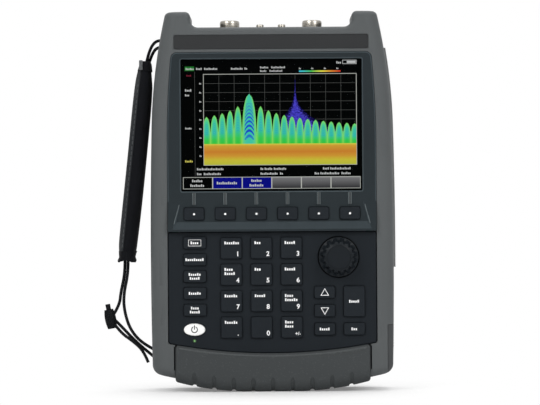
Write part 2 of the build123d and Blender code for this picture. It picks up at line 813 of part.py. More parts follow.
# Front shell: side bands, ears, top band and the window for the dark panels
with BuildPart() as front_housing:
    add(body_blank.part)
    split(bisect_by=facing(-parting_back), keep=Keep.TOP)
    with BuildSketch(facing(seat_forward)):
        add(panel_face(panel_gap))
    extrude(amount=seat_depth + overrun, mode=Mode.SUBTRACT)
    with BuildSketch(facing(cavity_front)):
        add(panel_face(-seat_width))
    extrude(amount=seat_thickness, mode=Mode.SUBTRACT)
    with BuildSketch(facing(-parting_back)):
        with Locations(*wall_screw_places):
            Circle(screw_boss_radius)
    add(cavity.part, mode=Mode.SUBTRACT)
    extrude(amount=screw_boss_reach)
    with BuildSketch(facing(-parting_back)):
        with Locations(*screw_places):
            Circle(screw_radius + running_gap)
    extrude(amount=screw_hole_depth, mode=Mode.SUBTRACT)
    add(bumper_seat(), mode=Mode.SUBTRACT)
    with BuildSketch(facing(front - title_depth)):
        with Locations((0, title_z)):
            RectangleRounded(title_width + 2 * part_gap, title_height + 2 * part_gap, title_corner_radius)
    extrude(amount=title_depth + overrun, mode=Mode.SUBTRACT)
    with BuildSketch(Plane.XY.offset(bay_floor_z)):
        with Locations((-port_x, port_back), (port_x, port_back)):
            Circle(port_stem_radius + part_gap)
        with Locations((-small_port_x, port_back), (small_port_x, port_back)):
            Circle(small_stem_radius + part_gap)
    extrude(amount=-top_wall - overrun, mode=Mode.SUBTRACT)
    with BuildSketch(Plane.YZ.offset(battery_door_x + overrun)):
        with Locations((0, battery_z)):
            Rectangle(battery_depth + 2 * part_gap, battery_height + 2 * part_gap)
    extrude(amount=-side_wall - cavity_corner_radius, mode=Mode.SUBTRACT)
    with BuildSketch(Plane.YZ.offset(battery_door_x)):
        with Locations((battery_door_back, battery_door_z)):
            Rectangle(body_depth, 2 * battery_door_z, align=(Align.MAX, Align.MAX))
    extrude(amount=side_wall, mode=Mode.SUBTRACT)
    with BuildSketch(facing(-cover_back - part_gap)):
        with Locations((waist_half_width, cover_z)):
            Rectangle(2 * side_wall, cover_top_z - cover_bottom_z + 2 * part_gap)
        add(body_face(cover_sink + part_gap), mode=Mode.SUBTRACT)
    extrude(amount=cover_front + cover_back + 2 * part_gap, mode=Mode.SUBTRACT)
    with BuildSketch(facing(ports_margin - cover_back - part_gap)):
        with Locations((ports_x - part_gap, ports_z)):
            Rectangle(
                side_wall, ports_top_z - ports_bottom_z + 2 * part_gap, align=(Align.MIN, Align.CENTER)
            )
    extrude(amount=ports_width + 2 * part_gap, mode=Mode.SUBTRACT)
    for strand in (upper_strand, second_strand, body_strand[::-1], return_strand[::-1]):
        with BuildSketch(strand_end(strand)):
            Circle(cord_radius + cord_hole_gap)
        extrude(amount=side_wall, mode=Mode.SUBTRACT)
finish(front_housing, "front_housing")

# Rear shell with the pan of the stand, board posts and sunk screw holes
with BuildPart() as rear_housing:
    add(body_blank.part)
    split(bisect_by=facing(-parting_back - parting_gap), keep=Keep.BOTTOM)
    add(cavity.part, mode=Mode.SUBTRACT)
    with BuildSketch(facing(cavity_rear)):
        with Locations((0, stand_pan_z)):
            Rectangle(stand_pan_width + 2 * stand_pan_wall, stand_pan_height + 2 * stand_pan_wall)
    extrude(amount=stand_pan_wall + stand_pan_depth - rear_wall)
    with BuildSketch(facing(cavity_rear)):
        with Locations(*wall_screw_places):
            Circle(screw_boss_radius)
    extrude(amount=-cavity_rear - parting_back - parting_gap)
    with BuildSketch(facing(cavity_rear)):
        with Locations(*board_post_places):
            Circle(standoff_radius)
    extrude(amount=-cavity_rear - main_board_back)
    with BuildSketch(facing(cavity_rear)):
        with Locations(*module_post_places):
            Circle(standoff_radius)
    extrude(amount=-cavity_rear - port_back - module_depth / 2)
    with BuildSketch(facing(-front - overrun)):
        with Locations((0, stand_pan_z)):
            Rectangle(stand_pan_width, stand_pan_height)
    extrude(amount=stand_pan_depth + overrun, mode=Mode.SUBTRACT)
    with BuildSketch(Plane.YZ):
        with Locations((-stand_axis_forward, stand_axis_z)):
            Circle(stand_pin_radius + running_gap)
    extrude(amount=stand_width / 2 + stand_pin_length + stand_pin_gap, both=True, mode=Mode.SUBTRACT)
    with BuildSketch(facing(-front - overrun)):
        with Locations(*screw_places):
            Circle(screw_head_radius + screw_head_gap)
    extrude(amount=screw_sink + screw_head_height + overrun, mode=Mode.SUBTRACT)
    with BuildSketch(facing(-front)):
        with Locations(*screw_places):
            Circle(screw_radius + screw_head_gap)
    extrude(amount=front - parting_back, mode=Mode.SUBTRACT)
    add(bumper_seat(), mode=Mode.SUBTRACT)
finish(rear_housing, "rear_housing")

# Six alike screws from the back
with BuildPart() as housing_screws:
    with BuildSketch(facing(screw_sink - front)):
        with Locations(*screw_places):
            Circle(screw_head_radius)
    extrude(amount=screw_head_height)
    with BuildSketch(facing(-screw_seat)):
        with Locations(*screw_places):
            Circle(screw_radius)
    extrude(amount=screw_seat - parting_back + screw_bite)
finish(housing_screws, "housing_screws")

# Rubber bumper: a boot with a grooved, rolled edge
with BuildPart() as bottom_bumper:
    with BuildSketch(facing(-bumper_half_depth)):
        add(bumper_face(bumper_half_width, bumper_gap))
    extrude(amount=2 * bumper_half_depth)
    ends = bottom_bumper.faces().sort_by(Axis.Y)
    for end in (ends[0], ends[-1]):
        fillet(end.edges().filter_by_position(Axis.Z, -overrun, bumper_rise), radius=bumper_edge_radius)
    rims = [edge for side in bottom_bumper.faces().filter_by(Axis.X) for edge in side.edges()]
    for end in bottom_bumper.faces().filter_by(Axis.Y):
        rims.append(end.edges().filter_by(GeomType.CIRCLE).sort_by(Axis.Z)[-1])
    fillet(rims, radius=bumper_lip_radius)
    with BuildSketch(facing(-bumper_inner)):
        with Locations((0, underside_z + underside_radius)):
            Circle(underside_radius - bumper_sole)
    extrude(amount=2 * bumper_inner, mode=Mode.SUBTRACT)
    for i in range(-groove_side_count, groove_side_count + 1):
        for facing_sign in (-1, 1):
            route = groove_route(i * groove_pitch, facing_sign, abs(i) <= short_groove_side_count)
            with BuildSketch(Plane(origin=route @ 0, z_dir=route % 0)):
                Circle(groove_radius)
            sweep(path=route, mode=Mode.SUBTRACT)
finish(bottom_bumper, "bottom_bumper")

# Bezel round the screen, with the ramp, its pan and lip, and a rib over each softkey
with BuildPart() as display_bezel:
    with BuildSketch(facing(seat_forward)):
        add(panel_face(0))
        with Locations((0, panel_split_z + part_gap / 2)):
            Rectangle(2 * waist_half_width, ear_top_z, align=(Align.CENTER, Align.MIN), mode=Mode.INTERSECT)
    extrude(amount=bezel_front - seat_forward)
    rim = display_bezel.faces().sort_by(Axis.Y)[0].edges().sort_by(Axis.Z)[1:]
    chamfer(rim, length=bezel_edge)
    with BuildSketch(Plane.YZ):
        with BuildLine():
            Polyline(
                (-bezel_front, ramp_top_z),
                (-ramp_front, panel_split_z + part_gap / 2 + lip_height),
                (-ramp_front, panel_split_z + part_gap / 2),
                (-bezel_front, panel_split_z + part_gap / 2),
                close=True,
            )
        make_face()
    extrude(amount=panel_half_width, both=True)
    with BuildSketch(facing(bezel_front)):
        add(pan_face(0, 0))
    with BuildSketch(facing(ramp_front)):
        add(pan_face(pan_flare, pan_drop))
    loft(ruled=True, mode=Mode.SUBTRACT)
    with BuildSketch(facing(bezel_front)):
        with Locations(*[(x, (rib_bottom_z + rib_top_z) / 2) for x in soft_key_xs]):
            Rectangle(rib_width, rib_top_z - rib_bottom_z)
    extrude(amount=rib_proud)
    with BuildSketch(facing(seat_forward)):
        with Locations((0, screen_z)):
            RectangleRounded(screen_width, screen_height, screen_corner_radius)
    extrude(amount=bezel_front - seat_forward, mode=Mode.SUBTRACT)
    opening = display_bezel.edges().filter_by_position(Axis.Y, -bezel_front, -bezel_front)
    opening = opening.filter_by_position(Axis.X, -screen_width / 2, screen_width / 2)
    opening = opening.filter_by_position(Axis.Z, screen_z - screen_height / 2, screen_z + screen_height / 2)
    chamfer(opening, length=screen_edge)
    with BuildSketch(facing(seat_forward)):
        with Locations((0, screen_z)):
            Rectangle(window_width + 2 * part_gap, window_height + 2 * part_gap)
    extrude(amount=window_thickness + part_gap, mode=Mode.SUBTRACT)
    with BuildSketch(facing(seat_forward)):
        for x, z, width, height in soft_keys.values():
            with Locations((x, z)):
                RectangleRounded(width + 2 * part_gap, height + 2 * part_gap, key_corner_radius)
    extrude(amount=ramp_front - seat_forward, mode=Mode.SUBTRACT)
finish(display_bezel, "display_bezel")

# Recessed keypad panel with its key holes, knob ring and board bosses
with BuildPart() as keypad_panel:
    with BuildSketch(facing(seat_forward)) as plate:
        add(panel_face(0))
        with Locations((0, panel_split_z - part_gap / 2)):
            Rectangle(2 * waist_half_width, ear_top_z, align=(Align.CENTER, Align.MAX), mode=Mode.INTERSECT)
        fillet(plate.vertices().group_by(Axis.Y)[-1], radius=keypad_corner_radius)
    extrude(amount=keypad_front - seat_forward)
    chamfer(keypad_panel.faces().sort_by(Axis.Y)[0].edges(), length=keypad_edge)
    with BuildSketch(facing(seat_forward)):
        for x, z, width, height in panel_keys.values():
            with Locations((x, z)):
                RectangleRounded(width + 2 * part_gap, height + 2 * part_gap, key_corner_radius)
        with Locations((power_x, power_z)):
            Ellipse(power_width / 2 + part_gap, power_height / 2 + part_gap)
        with Locations((power_x, led_z)):
            Circle(led_radius + part_gap)
        with Locations((knob_x, knob_z)):
            Circle(bushing_radius + part_gap)
    extrude(amount=keypad_front - seat_forward, mode=Mode.SUBTRACT)
    with BuildSketch(facing(keypad_front - knob_ring_depth)):
        with Locations((knob_x, knob_z)):
            Circle(knob_ring_radius)
    extrude(amount=knob_ring_depth, mode=Mode.SUBTRACT)
    with BuildSketch(facing(mat_rear)):
        with Locations(*boss_places):
            Circle(boss_radius)
    extrude(amount=seat_forward - mat_rear)
finish(keypad_panel, "keypad_panel")


def make_key(name, x, z, width, height, key_front):
    """Key cap that comes through its panel, with a skirt that keeps it behind the panel."""
    with BuildPart() as key:
        with BuildSketch(facing(skirt_rear)):
            with Locations((x, z)):
                RectangleRounded(width + 2 * skirt_lip, height + 2 * skirt_lip, key_corner_radius)
        extrude(amount=skirt_thickness)
        with BuildSketch(facing(skirt_rear)):
            with Locations((x, z)):
                RectangleRounded(width, height, key_corner_radius)
        extrude(amount=key_front - skirt_rear)
        chamfer(key.faces().sort_by(Axis.Y)[0].edges(), length=key_edge)
    finish(key, name)


for name, (x, z, width, height) in soft_keys.items():
    make_key(name, x, z, width, height, bezel_front + soft_key_proud)
for name, (x, z, width, height) in panel_keys.items():
    make_key(name, x, z, width, height, keypad_front + key_proud)

# Oval power button
with BuildPart() as power_button:
    with BuildSketch(facing(skirt_rear)):
        with Locations((power_x, power_z)):
            Ellipse(power_width / 2 + skirt_lip, power_height / 2 + skirt_lip)
    extrude(amount=skirt_thickness)
    with BuildSketch(facing(skirt_rear)):
        with Locations((power_x, power_z)):
            Ellipse(power_width / 2, power_height / 2)
    extrude(amount=keypad_front + key_proud - skirt_rear)
    chamfer(power_button.faces().sort_by(Axis.Y)[0].edges(), length=key_edge)
finish(power_button, "power_button")

# Light pipe of the power lamp
with BuildPart() as power_led:
    with BuildSketch(facing(skirt_rear)):
        with Locations((power_x, led_z)):
            Circle(led_radius + led_flange)
    extrude(amount=skirt_thickness)
    with BuildSketch(facing(skirt_rear)):
        with Locations((power_x, led_z)):
            Circle(led_radius)
    extrude(amount=keypad_front + led_proud - skirt_rear)
finish(power_led, "power_led")

# Elastomer mat with a dome under each key
with BuildPart() as keypad_mat:
    with BuildSketch(facing(mat_rear)):
        with Locations((0, (mat_bottom_z + mat_top_z) / 2)):
            Rectangle(2 * mat_half_width, mat_top_z - mat_bottom_z)
        with Locations((knob_x, knob_z)):
            Circle(mat_hole_radius, mode=Mode.SUBTRACT)
    extrude(amount=mat_thickness)
    with BuildSketch(facing(mat_front)):
        with Locations(*dome_places):
            Circle(dome_radius)
    extrude(amount=dome_height)
finish(keypad_mat, "keypad_mat")

# Circuit board behind the mat
with BuildPart() as keypad_board:
    with BuildSketch(facing(board_rear)):
        with Locations((0, (board_bottom_z + board_top_z) / 2)):
            Rectangle(2 * board_half_width, board_top_z - board_bottom_z)
    extrude(amount=board_thickness)
finish(keypad_board, "keypad_board")

# Rotary encoder on the keypad board
with BuildPart() as rotary_encoder:
    with BuildSketch(facing(mat_rear)):
        with Locations((knob_x, knob_z)):
            Rectangle(encoder_size, encoder_size)
    extrude(amount=encoder_front - mat_rear)
    with BuildSketch(facing(encoder_front)):
        with Locations((knob_x, knob_z)):
            Circle(bushing_radius)
    extrude(amount=bushing_height)
    with BuildSketch(facing(shaft_rear - shaft_end_gap)):
        with Locations((knob_x, knob_z)):
            Circle(shaft_radius + running_gap)
    extrude(amount=shaft_front - shaft_rear, mode=Mode.SUBTRACT)
finish(rotary_encoder, "rotary_encoder")

# Encoder shaft, which turns with the knob
with BuildPart() as encoder_shaft:
    with BuildSketch(facing(shaft_rear)):
        with Locations((knob_x, knob_z)):
            Circle(shaft_radius)
    extrude(amount=shaft_front - shaft_rear)
finish(encoder_shaft, "encoder_shaft")

# Knob: a flanged cone with finger flutes and a dished top
with BuildPart() as knob:
    with BuildSketch(Plane.XY.offset(knob_z)):
        with BuildLine():
            Polyline(
                (knob_x, knob_dish - knob_front),
                (knob_x, -knob_seat),
                (knob_x + knob_radius, -knob_seat),
                (knob_x + knob_radius, knob_edge - knob_seat - knob_flange),
                (knob_x + knob_radius - knob_edge, -knob_seat - knob_flange),
                (knob_x + knob_flank_radius, -knob_seat - knob_flange),
                (knob_x + knob_top_radius, -knob_front),
            )
            RadiusArc(
                (knob_x + knob_top_radius, -knob_front),
                (knob_x, knob_dish - knob_front),
                -(knob_top_radius**2 + knob_dish**2) / (2 * knob_dish),
            )
        make_face()
    revolve(axis=Axis((knob_x, 0, knob_z), (0, 1, 0)))
    with BuildSketch(facing(knob_seat + knob_flange)):
        with Locations((knob_x, knob_z)):
            with PolarLocations(knob_flank_radius + flute_radius - flute_bite, flute_count):
                Circle(flute_radius)
    extrude(amount=knob_height, mode=Mode.SUBTRACT)
    with BuildSketch(facing(knob_seat)):
        with Locations((knob_x, knob_z)):
            Circle(shaft_radius + knob_fit)
    extrude(amount=shaft_front - knob_seat, mode=Mode.SUBTRACT)
    with BuildSketch(facing(knob_seat)):
        with Locations((knob_x, knob_z)):
            Circle(bushing_radius + bushing_gap)
    extrude(amount=bushing_front + bushing_gap - knob_seat, mode=Mode.SUBTRACT)
finish(knob, "knob")

# Bare inlay, screen window and display
with BuildPart() as title_strip:
    with BuildSketch(facing(front - title_depth)):
        with Locations((0, title_z)):
            RectangleRounded(title_width, title_height, title_corner_radius)
    extrude(amount=title_thickness)
finish(title_strip, "title_strip")

with BuildPart() as display_window:
    with BuildSketch(facing(seat_forward)):
        with Locations((0, screen_z)):
            Rectangle(window_width, window_height)
    extrude(amount=window_thickness)
finish(display_window, "display_window")

with BuildPart() as display_module:
    with BuildSketch(facing(seat_forward - part_gap)):
        with Locations((0, screen_z)):
            Rectangle(screen_width + 2 * display_lap, screen_height + 2 * display_lap)
    extrude(amount=-display_thickness)
finish(display_module, "display_module")


def make_port(name, x, radius, top_z, collar_height, collar_radius, tip_edge, stem_radius, bore, pin):
    """Threaded coaxial port: stem through the roof, six-sided collar, barrel and bore with its contact."""
    with BuildPart() as port:
        with BuildSketch(Plane.XY.offset(module_top_z)):
            with Locations((x, port_back)):
                Circle(stem_radius)
        extrude(amount=bay_floor_z - module_top_z)
        with BuildSketch(Plane.XY.offset(bay_floor_z)):
            with Locations((x, port_back)):
                RegularPolygon(collar_radius, collar_side_count)
        extrude(amount=collar_height)
        with BuildSketch(Plane.XY.offset(bay_floor_z)):
            with Locations((x, port_back)):
                Circle(radius)
        extrude(amount=top_z - bay_floor_z)
        chamfer(port.faces().sort_by(Axis.Z)[-1].edges(), length=tip_edge)
        with BuildSketch(Plane.XY.offset(top_z)):
            with Locations((x, port_back)):
                Circle(bore[0])
        extrude(amount=-bore[1], mode=Mode.SUBTRACT)
        if pin:
            with BuildSketch(Plane.XY.offset(top_z - bore[1])):
                with Locations((x, port_back)):
                    Circle(pin[0])
            extrude(amount=bore[1] - pin[1])
    finish(port, name)


for name, side in (("port_1_connector", -1), ("port_2_connector", 1)):
    make_port(
        name,
        side * port_x,
        port_radius,
        port_top_z,
        port_collar_height,
        port_collar_radius,
        port_tip_edge,
        port_stem_radius,
        (port_bore_radius, port_bore_depth),
        (port_pin_radius, port_pin_drop),
    )
for name, side in (("gps_connector", -1), ("reference_connector", 1)):
    make_port(
        name,
        side * small_port_x,
        small_port_radius,
        small_port_top_z,
        small_collar_height,
        small_collar_radius,
        small_tip_edge,
        small_stem_radius,
        (small_pin_hole_radius, small_pin_hole_depth),
        None,
    )

# Shielded radio module under the ports, and the main board
with BuildPart() as rf_module:
    with BuildSketch(facing(-port_back - module_depth / 2)):
        with Locations((0, module_top_z)):
            Rectangle(module_width, module_height, align=(Align.CENTER, Align.MAX))
    extrude(amount=module_depth)
    chamfer(rf_module.edges().filter_by(Axis.Y), length=module_edge)
finish(rf_module, "rf_module")

with BuildPart() as main_board:
    with BuildSketch(facing(-main_board_back)):
        with Locations((0, main_board_z)):
            Rectangle(main_board_width, main_board_height)
    extrude(amount=main_board_thickness)
finish(main_board, "main_board")

# Battery pack, its door with a plug, and the door's slide
with BuildPart() as battery_pack:
    with BuildSketch(Plane.YZ.offset(battery_end_x)):
        with Locations((0, battery_z)):
            RectangleRounded(battery_depth, battery_height, battery_edge)
    extrude(amount=-battery_length)
finish(battery_pack, "battery_pack")

with BuildPart() as battery_door:
    add(body_blank.part)
    with BuildSketch(Plane.YZ.offset(battery_door_x + part_gap)):
        with Locations((battery_door_back - part_gap, battery_door_z - part_gap)):
            Rectangle(body_depth, 2 * battery_door_z, align=(Align.MAX, Align.MAX))
    extrude(amount=side_wall, mode=Mode.INTERSECT)
    with BuildSketch(Plane.YZ.offset(battery_door_x + part_gap)):
        with Locations((0, battery_z)):
            Rectangle(battery_depth, battery_height)
    extrude(amount=-door_plug_depth)
    with BuildSketch(Plane.YZ.offset(latch_x)):
        with Locations((-latch_forward, latch_z - part_gap)):
            Rectangle(
                latch_width + 2 * part_gap,
                latch_height + latch_travel + 2 * part_gap,
                align=(Align.CENTER, Align.MIN),
            )
    extrude(amount=side_wall, mode=Mode.SUBTRACT)
finish(battery_door, "battery_door")

with BuildPart() as battery_latch:
    with BuildSketch(Plane.YZ.offset(latch_x + part_gap)):
        with Locations((-latch_forward, latch_z)):
            Rectangle(latch_width, latch_height, align=(Align.CENTER, Align.MIN))
    extrude(amount=latch_thickness - part_gap)
    with BuildSketch(Plane.XZ.offset(latch_forward - latch_width / 2)):
        with Locations((latch_x + latch_thickness, latch_z + latch_height / 2)):
            with GridLocations(0, latch_rib_pitch, 1, latch_rib_count):
                Circle(latch_rib_radius)
    extrude(amount=latch_width)
finish(battery_latch, "battery_latch")

# Soft side cover that follows the body, and the row of sockets behind it
with BuildPart() as right_port_door:
    with BuildSketch(facing(-cover_back)):
        with Locations((waist_half_width, cover_z)):
            Rectangle(2 * side_wall, cover_top_z - cover_bottom_z)
        add(body_face(-cover_proud), mode=Mode.INTERSECT)
        add(body_face(cover_sink), mode=Mode.SUBTRACT)
    extrude(amount=cover_front + cover_back)
finish(right_port_door, "right_port_door")

with BuildPart() as right_ports:
    with BuildSketch(facing(ports_margin - cover_back)):
        with Locations((ports_x, ports_z)):
            Rectangle(side_wall, ports_top_z - ports_bottom_z, align=(Align.MIN, Align.CENTER))
        add(body_face(cover_sink + ports_set_back), mode=Mode.INTERSECT)
    extrude(amount=ports_width)
    low = ports_z - (sum(socket_lengths) + socket_gap * (len(socket_lengths) - 1)) / 2
    for length, width in zip(socket_lengths, socket_widths):
        with BuildSketch(facing(ports_margin - cover_back + (ports_width - width) / 2)):
            with Locations((ports_x, low)):
                Rectangle(side_wall, length, align=(Align.MIN, Align.MIN))
            add(body_face(cover_sink + ports_set_back + socket_depth), mode=Mode.SUBTRACT)
        extrude(amount=width, mode=Mode.SUBTRACT)
        low += length + socket_gap
finish(right_ports, "right_ports")

# Fold-out stand: a plate with a rounded hinge end, two stub pins and a finger notch
with BuildPart() as bail_stand:
    with BuildSketch(Plane.YZ):
        with Locations((-stand_axis_forward, stand_axis_z)):
            Rectangle(stand_thickness, stand_height, align=(Align.CENTER, Align.MAX))
            Circle(stand_half_thickness)
    extrude(amount=stand_width / 2, both=True)
    fillet(
        bail_stand.edges().filter_by(Axis.Y).group_by(Axis.Z)[0],
        radius=stand_corner_radius,
    )
    with BuildSketch(facing(stand_axis_forward - stand_thickness)):
        with Locations((0, stand_axis_z - stand_height)):
            Circle(stand_notch_radius)
    extrude(amount=2 * stand_thickness, mode=Mode.SUBTRACT)
    with BuildSketch(Plane.YZ):
        with Locations((-stand_axis_forward, stand_axis_z)):
            Circle(stand_pin_radius)
    extrude(amount=stand_width / 2 + stand_pin_length, both=True)
finish(bail_stand, "bail_stand")

# Padded sleeve of the hand strap, swelling from a narrow top to a full middle
with BuildPart() as strap_pad:
    for share, swell in zip(pad_section_shares, pad_swell_shares):
        middle_x = pad_top_x + share * (pad_bottom_x - pad_top_x) + pad_bow * (1 - (2 * share - 1) ** 2)
        thick = (pad_top_thickness + swell * (pad_thickness - pad_top_thickness)) / 2
        wide = (pad_top_width + swell * (pad_width - pad_top_width)) / 2
        edge = thick * (1 - pad_crown_share)
        end = wide * (1 - pad_crown_share / 2)
        middle_z = pad_top_z + share * (pad_bottom_z - pad_top_z)
        with BuildSketch(Plane(origin=(middle_x, 0, middle_z))):
            with BuildLine():
                ThreePointArc((edge, -end), (thick, 0), (edge, end))
                ThreePointArc((edge, end), (0, wide), (-edge, end))
                ThreePointArc((-edge, end), (-thick, 0), (-edge, -end))
                ThreePointArc((-edge, -end), (0, -wide), (edge, -end))
            make_face()
    loft()
finish(strap_pad, "strap_pad")

# Cord lock: a barrel with a cord hole for each strand and a spring plunger in its top
with BuildPart() as cord_lock:
    with BuildSketch(lock_plane):
        with BuildLine():
            Polyline(
                (0, lock_length / 2),
                (lock_end_radius, lock_length / 2),
            )
            ThreePointArc(
                (lock_end_radius, lock_length / 2),
                (lock_radius, 0),
                (lock_end_radius, -lock_length / 2),
            )
            Polyline(
                (lock_end_radius, -lock_length / 2),
                (0, -lock_length / 2),
                (0, lock_length / 2),
            )
        make_face()
    revolve(axis=Axis(lock_plane.origin, lock_plane.y_dir))
    with BuildSketch(plunger_plane):
        Circle(plunger_radius + plunger_gap)
    extrude(amount=plunger_length, mode=Mode.SUBTRACT)
    for strand in (lock_strand[::-1], return_strand, tail_strand):
        with BuildSketch(strand_end(strand)):
            Circle(cord_radius + cord_hole_gap)
        extrude(amount=lock_length, mode=Mode.SUBTRACT)
finish(cord_lock, "cord_lock")

with BuildPart() as cord_lock_plunger:
    with BuildSketch(plunger_plane.offset(plunger_travel + plunger_gap)):
        Circle(plunger_radius)
    extrude(amount=plunger_length)
finish(cord_lock_plunger, "cord_lock_plunger")

# Strands of the strap's cord
strands = (upper_strand, second_strand, body_strand, lock_strand, return_strand, tail_strand)
cord_length = 0
with BuildPart() as strap_cords:
    for strand in strands:
        radii = bend_radii(strand)
        print("cord bends", [round(radius, 1) for radius in radii])
        with BuildLine():
            route = FilletPolyline(*strand, radius=radii)
        cord_length += route.length
        with BuildSketch(Plane(origin=route @ 0, z_dir=route % 0)):
            Circle(cord_radius)
        sweep(path=route)
print("cord volume", strap_cords.part.volume, "section by length", pi * cord_radius**2 * cord_length)
finish(strap_cords, "strap_cords")
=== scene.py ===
# %% [markdown]
# # Dressing a handheld microwave analyzer
# The CAD frame already holds the grey shells, the dark panels, the keys, the ports and the
# strap as plain solids. This lesson gives them the finishes of the real thing, and adds what
# solids can't show: a lit screen, printed legends, flutes on the knob, threads, cloth and cord.

# %% Load the frame
import math

import bpy
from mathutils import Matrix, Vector


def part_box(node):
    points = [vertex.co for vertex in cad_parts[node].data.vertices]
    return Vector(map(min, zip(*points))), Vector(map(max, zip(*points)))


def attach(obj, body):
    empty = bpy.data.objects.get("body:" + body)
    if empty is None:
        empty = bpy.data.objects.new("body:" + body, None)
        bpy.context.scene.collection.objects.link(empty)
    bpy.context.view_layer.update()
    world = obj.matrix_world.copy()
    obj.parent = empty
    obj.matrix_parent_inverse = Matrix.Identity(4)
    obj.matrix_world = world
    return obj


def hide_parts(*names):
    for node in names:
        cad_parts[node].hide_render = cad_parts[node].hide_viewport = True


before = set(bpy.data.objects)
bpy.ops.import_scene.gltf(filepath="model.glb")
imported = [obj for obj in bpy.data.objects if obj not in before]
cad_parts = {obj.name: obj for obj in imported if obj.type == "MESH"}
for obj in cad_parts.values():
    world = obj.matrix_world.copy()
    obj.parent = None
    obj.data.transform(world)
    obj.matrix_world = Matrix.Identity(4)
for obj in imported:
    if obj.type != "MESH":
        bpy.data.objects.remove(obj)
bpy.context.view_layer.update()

# %% [markdown]
# ## Working habits
# An operator acts on everything that is selected, and the frame arrives selected. So each step
# first selects only its own piece. A finished piece sits at the origin with its place in its
# mesh, as a CAD node does, and rides on a body so that it moves when the joint moves.

# %% Selecting, joining and settling pieces
MM = 0.001
UPRIGHT = (math.pi / 2, 0, 0)


def deselect():
    """Leave edit mode and select nothing."""
    if bpy.context.object and bpy.context.object.mode != "OBJECT":
        bpy.ops.object.mode_set(mode="OBJECT")
    bpy.ops.object.select_all(action="DESELECT")


def choose(*pieces):
    """Select these pieces alone; the first is the active one."""
    deselect()
    for piece in pieces:
        piece.select_set(True)
    bpy.context.view_layer.objects.active = pieces[0]


def join(pieces):
    """Make one piece of several."""
    choose(*pieces)
    if len(pieces) > 1:
        bpy.ops.object.join()
    return pieces[0]


def copy(piece):
    """A copy with a mesh of its own."""
    other = piece.copy()
    other.data = piece.data.copy()
    bpy.context.scene.collection.objects.link(other)
    return other


def apply_place(piece):
    """Put the piece's place, turn and scale into its mesh."""
    choose(piece)
    bpy.ops.object.transform_apply(location=True, rotation=True, scale=True)


def apply_modifiers(piece):
    """Keep what the modifiers make, and remove them."""
    choose(piece)
    for modifier in list(piece.modifiers):
        bpy.ops.object.modifier_apply(modifier=modifier.name)


def paint(piece, *finishes):
    """Give the piece these materials and no others."""
    piece.data.materials.clear()
    for finish in finishes:
        piece.data.materials.append(finish)


def settle(piece, name, body):
    """Name a finished piece, put its place into its mesh and let it ride on its body."""
    apply_place(piece)
    piece.name = name
    piece.data.name = name
    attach(piece, body)
    return piece


def middle(node):
    """Centre of a CAD node's box."""
    low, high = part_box(node)
    return (Vector(low) + Vector(high)) / 2


print("nodes in the frame:", len(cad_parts))

# %% [markdown]
# ## The camera
# The photograph looks straight at the front through a long lens, and is turned by a third of a
# degree. The lens follows from the width of the view at the object's front, 417 mm across 540
# pixels.

# %% Camera
photo_width, mm_per_pixel = 540, 0.772
view_width = photo_width * mm_per_pixel * MM
view_x, view_height = -1.5 * MM, 145.2 * MM
camera_distance = 2.2
camera_turn = math.radians(0.38)
front_depth = 15 * MM
sensor_width = 36.0
bpy.ops.object.camera_add(
    location=(view_x, -camera_distance, view_height),
    rotation=(math.radians(90), camera_turn, 0),
)
camera = bpy.context.object
camera.name = "camera"
camera.data.sensor_width = sensor_width
camera.data.lens = sensor_width * (camera_distance - front_depth) / view_width
camera.data.clip_start = 0.05
camera.data.clip_end = 50
bpy.context.scene.camera = camera
print("lens", round(camera.data.lens, 1), "mm")

# %% [markdown]
# ## Writing materials as sums
# A procedural material is arithmetic on patterns. The small class below wraps one output of a
# node, and Python's own operators add the Math nodes. One method makes every other node.


# %% Wires
class Wire:
    """One output of a material node. Arithmetic on it adds Math nodes."""

    def __init__(self, finish, node, output=0):
        self.finish = finish
        self.node = node
        self.socket = node.outputs[output]

    def out(self, output):
        return Wire(self.finish, self.node, output)

    def math(self, operation, first, second=0.0):
        return self.finish.node("ShaderNodeMath", {"operation": operation}, {0: first, 1: second})

    def __add__(self, other):
        return self.math("ADD", self, other)

    def __sub__(self, other):
        return self.math("SUBTRACT", self, other)

    def __rsub__(self, other):
        return self.math("SUBTRACT", other, self)

    def __mul__(self, other):
        return self.math("MULTIPLY", self, other)

    def __pow__(self, other):
        return self.math("POWER", self, other)

    def __gt__(self, other):
        return self.math("GREATER_THAN", self, other)

    def __lt__(self, other):
        return self.math("LESS_THAN", self, other)

    def __abs__(self):
        return self.math("ABSOLUTE", self)

    def sine(self):
        return self.math("SINE", self)

    __radd__ = __add__
    __rmul__ = __mul__


# %% Node trees and finishes
class Nodes:
    """The node tree of a material or of the world."""

    def __init__(self, owner):
        owner.use_nodes = True
        self.tree = owner.node_tree

    def node(self, kind, settings=None, inputs=None):
        """Add a node: its settings first, then the values or wires of its sockets."""
        made = self.tree.nodes.new(kind)
        for key, value in (settings or {}).items():
            if key == "stops":
                while len(made.color_ramp.elements) < len(value):
                    made.color_ramp.elements.new(0.5)
                for element, (place, colour) in zip(made.color_ramp.elements, value):
                    element.position = place
                    element.color = colour
            else:
                setattr(made, key, value)
        for key, value in (inputs or {}).items():
            self.feed(made.inputs[key], value)
        return Wire(self, made)

    def feed(self, socket, value):
        if isinstance(value, Wire):
            self.tree.links.new(value.socket, socket)
        else:
            socket.default_value = value

    def seen(self, *rays):
        """1 for these kinds of ray, and 0 for others."""
        path = self.node("ShaderNodeLightPath")
        total = path.out(rays[0])
        for ray in rays[1:]:
            total = total + path.out(ray)
        return total

    def blend(self, share, first, second, output):
        """Blend two shaders by a share, into the socket that the renderer reads."""
        mixed = self.node("ShaderNodeMixShader", None, {0: share, 1: first, 2: second})
        self.feed(self.tree.nodes[output].inputs["Surface"], mixed)


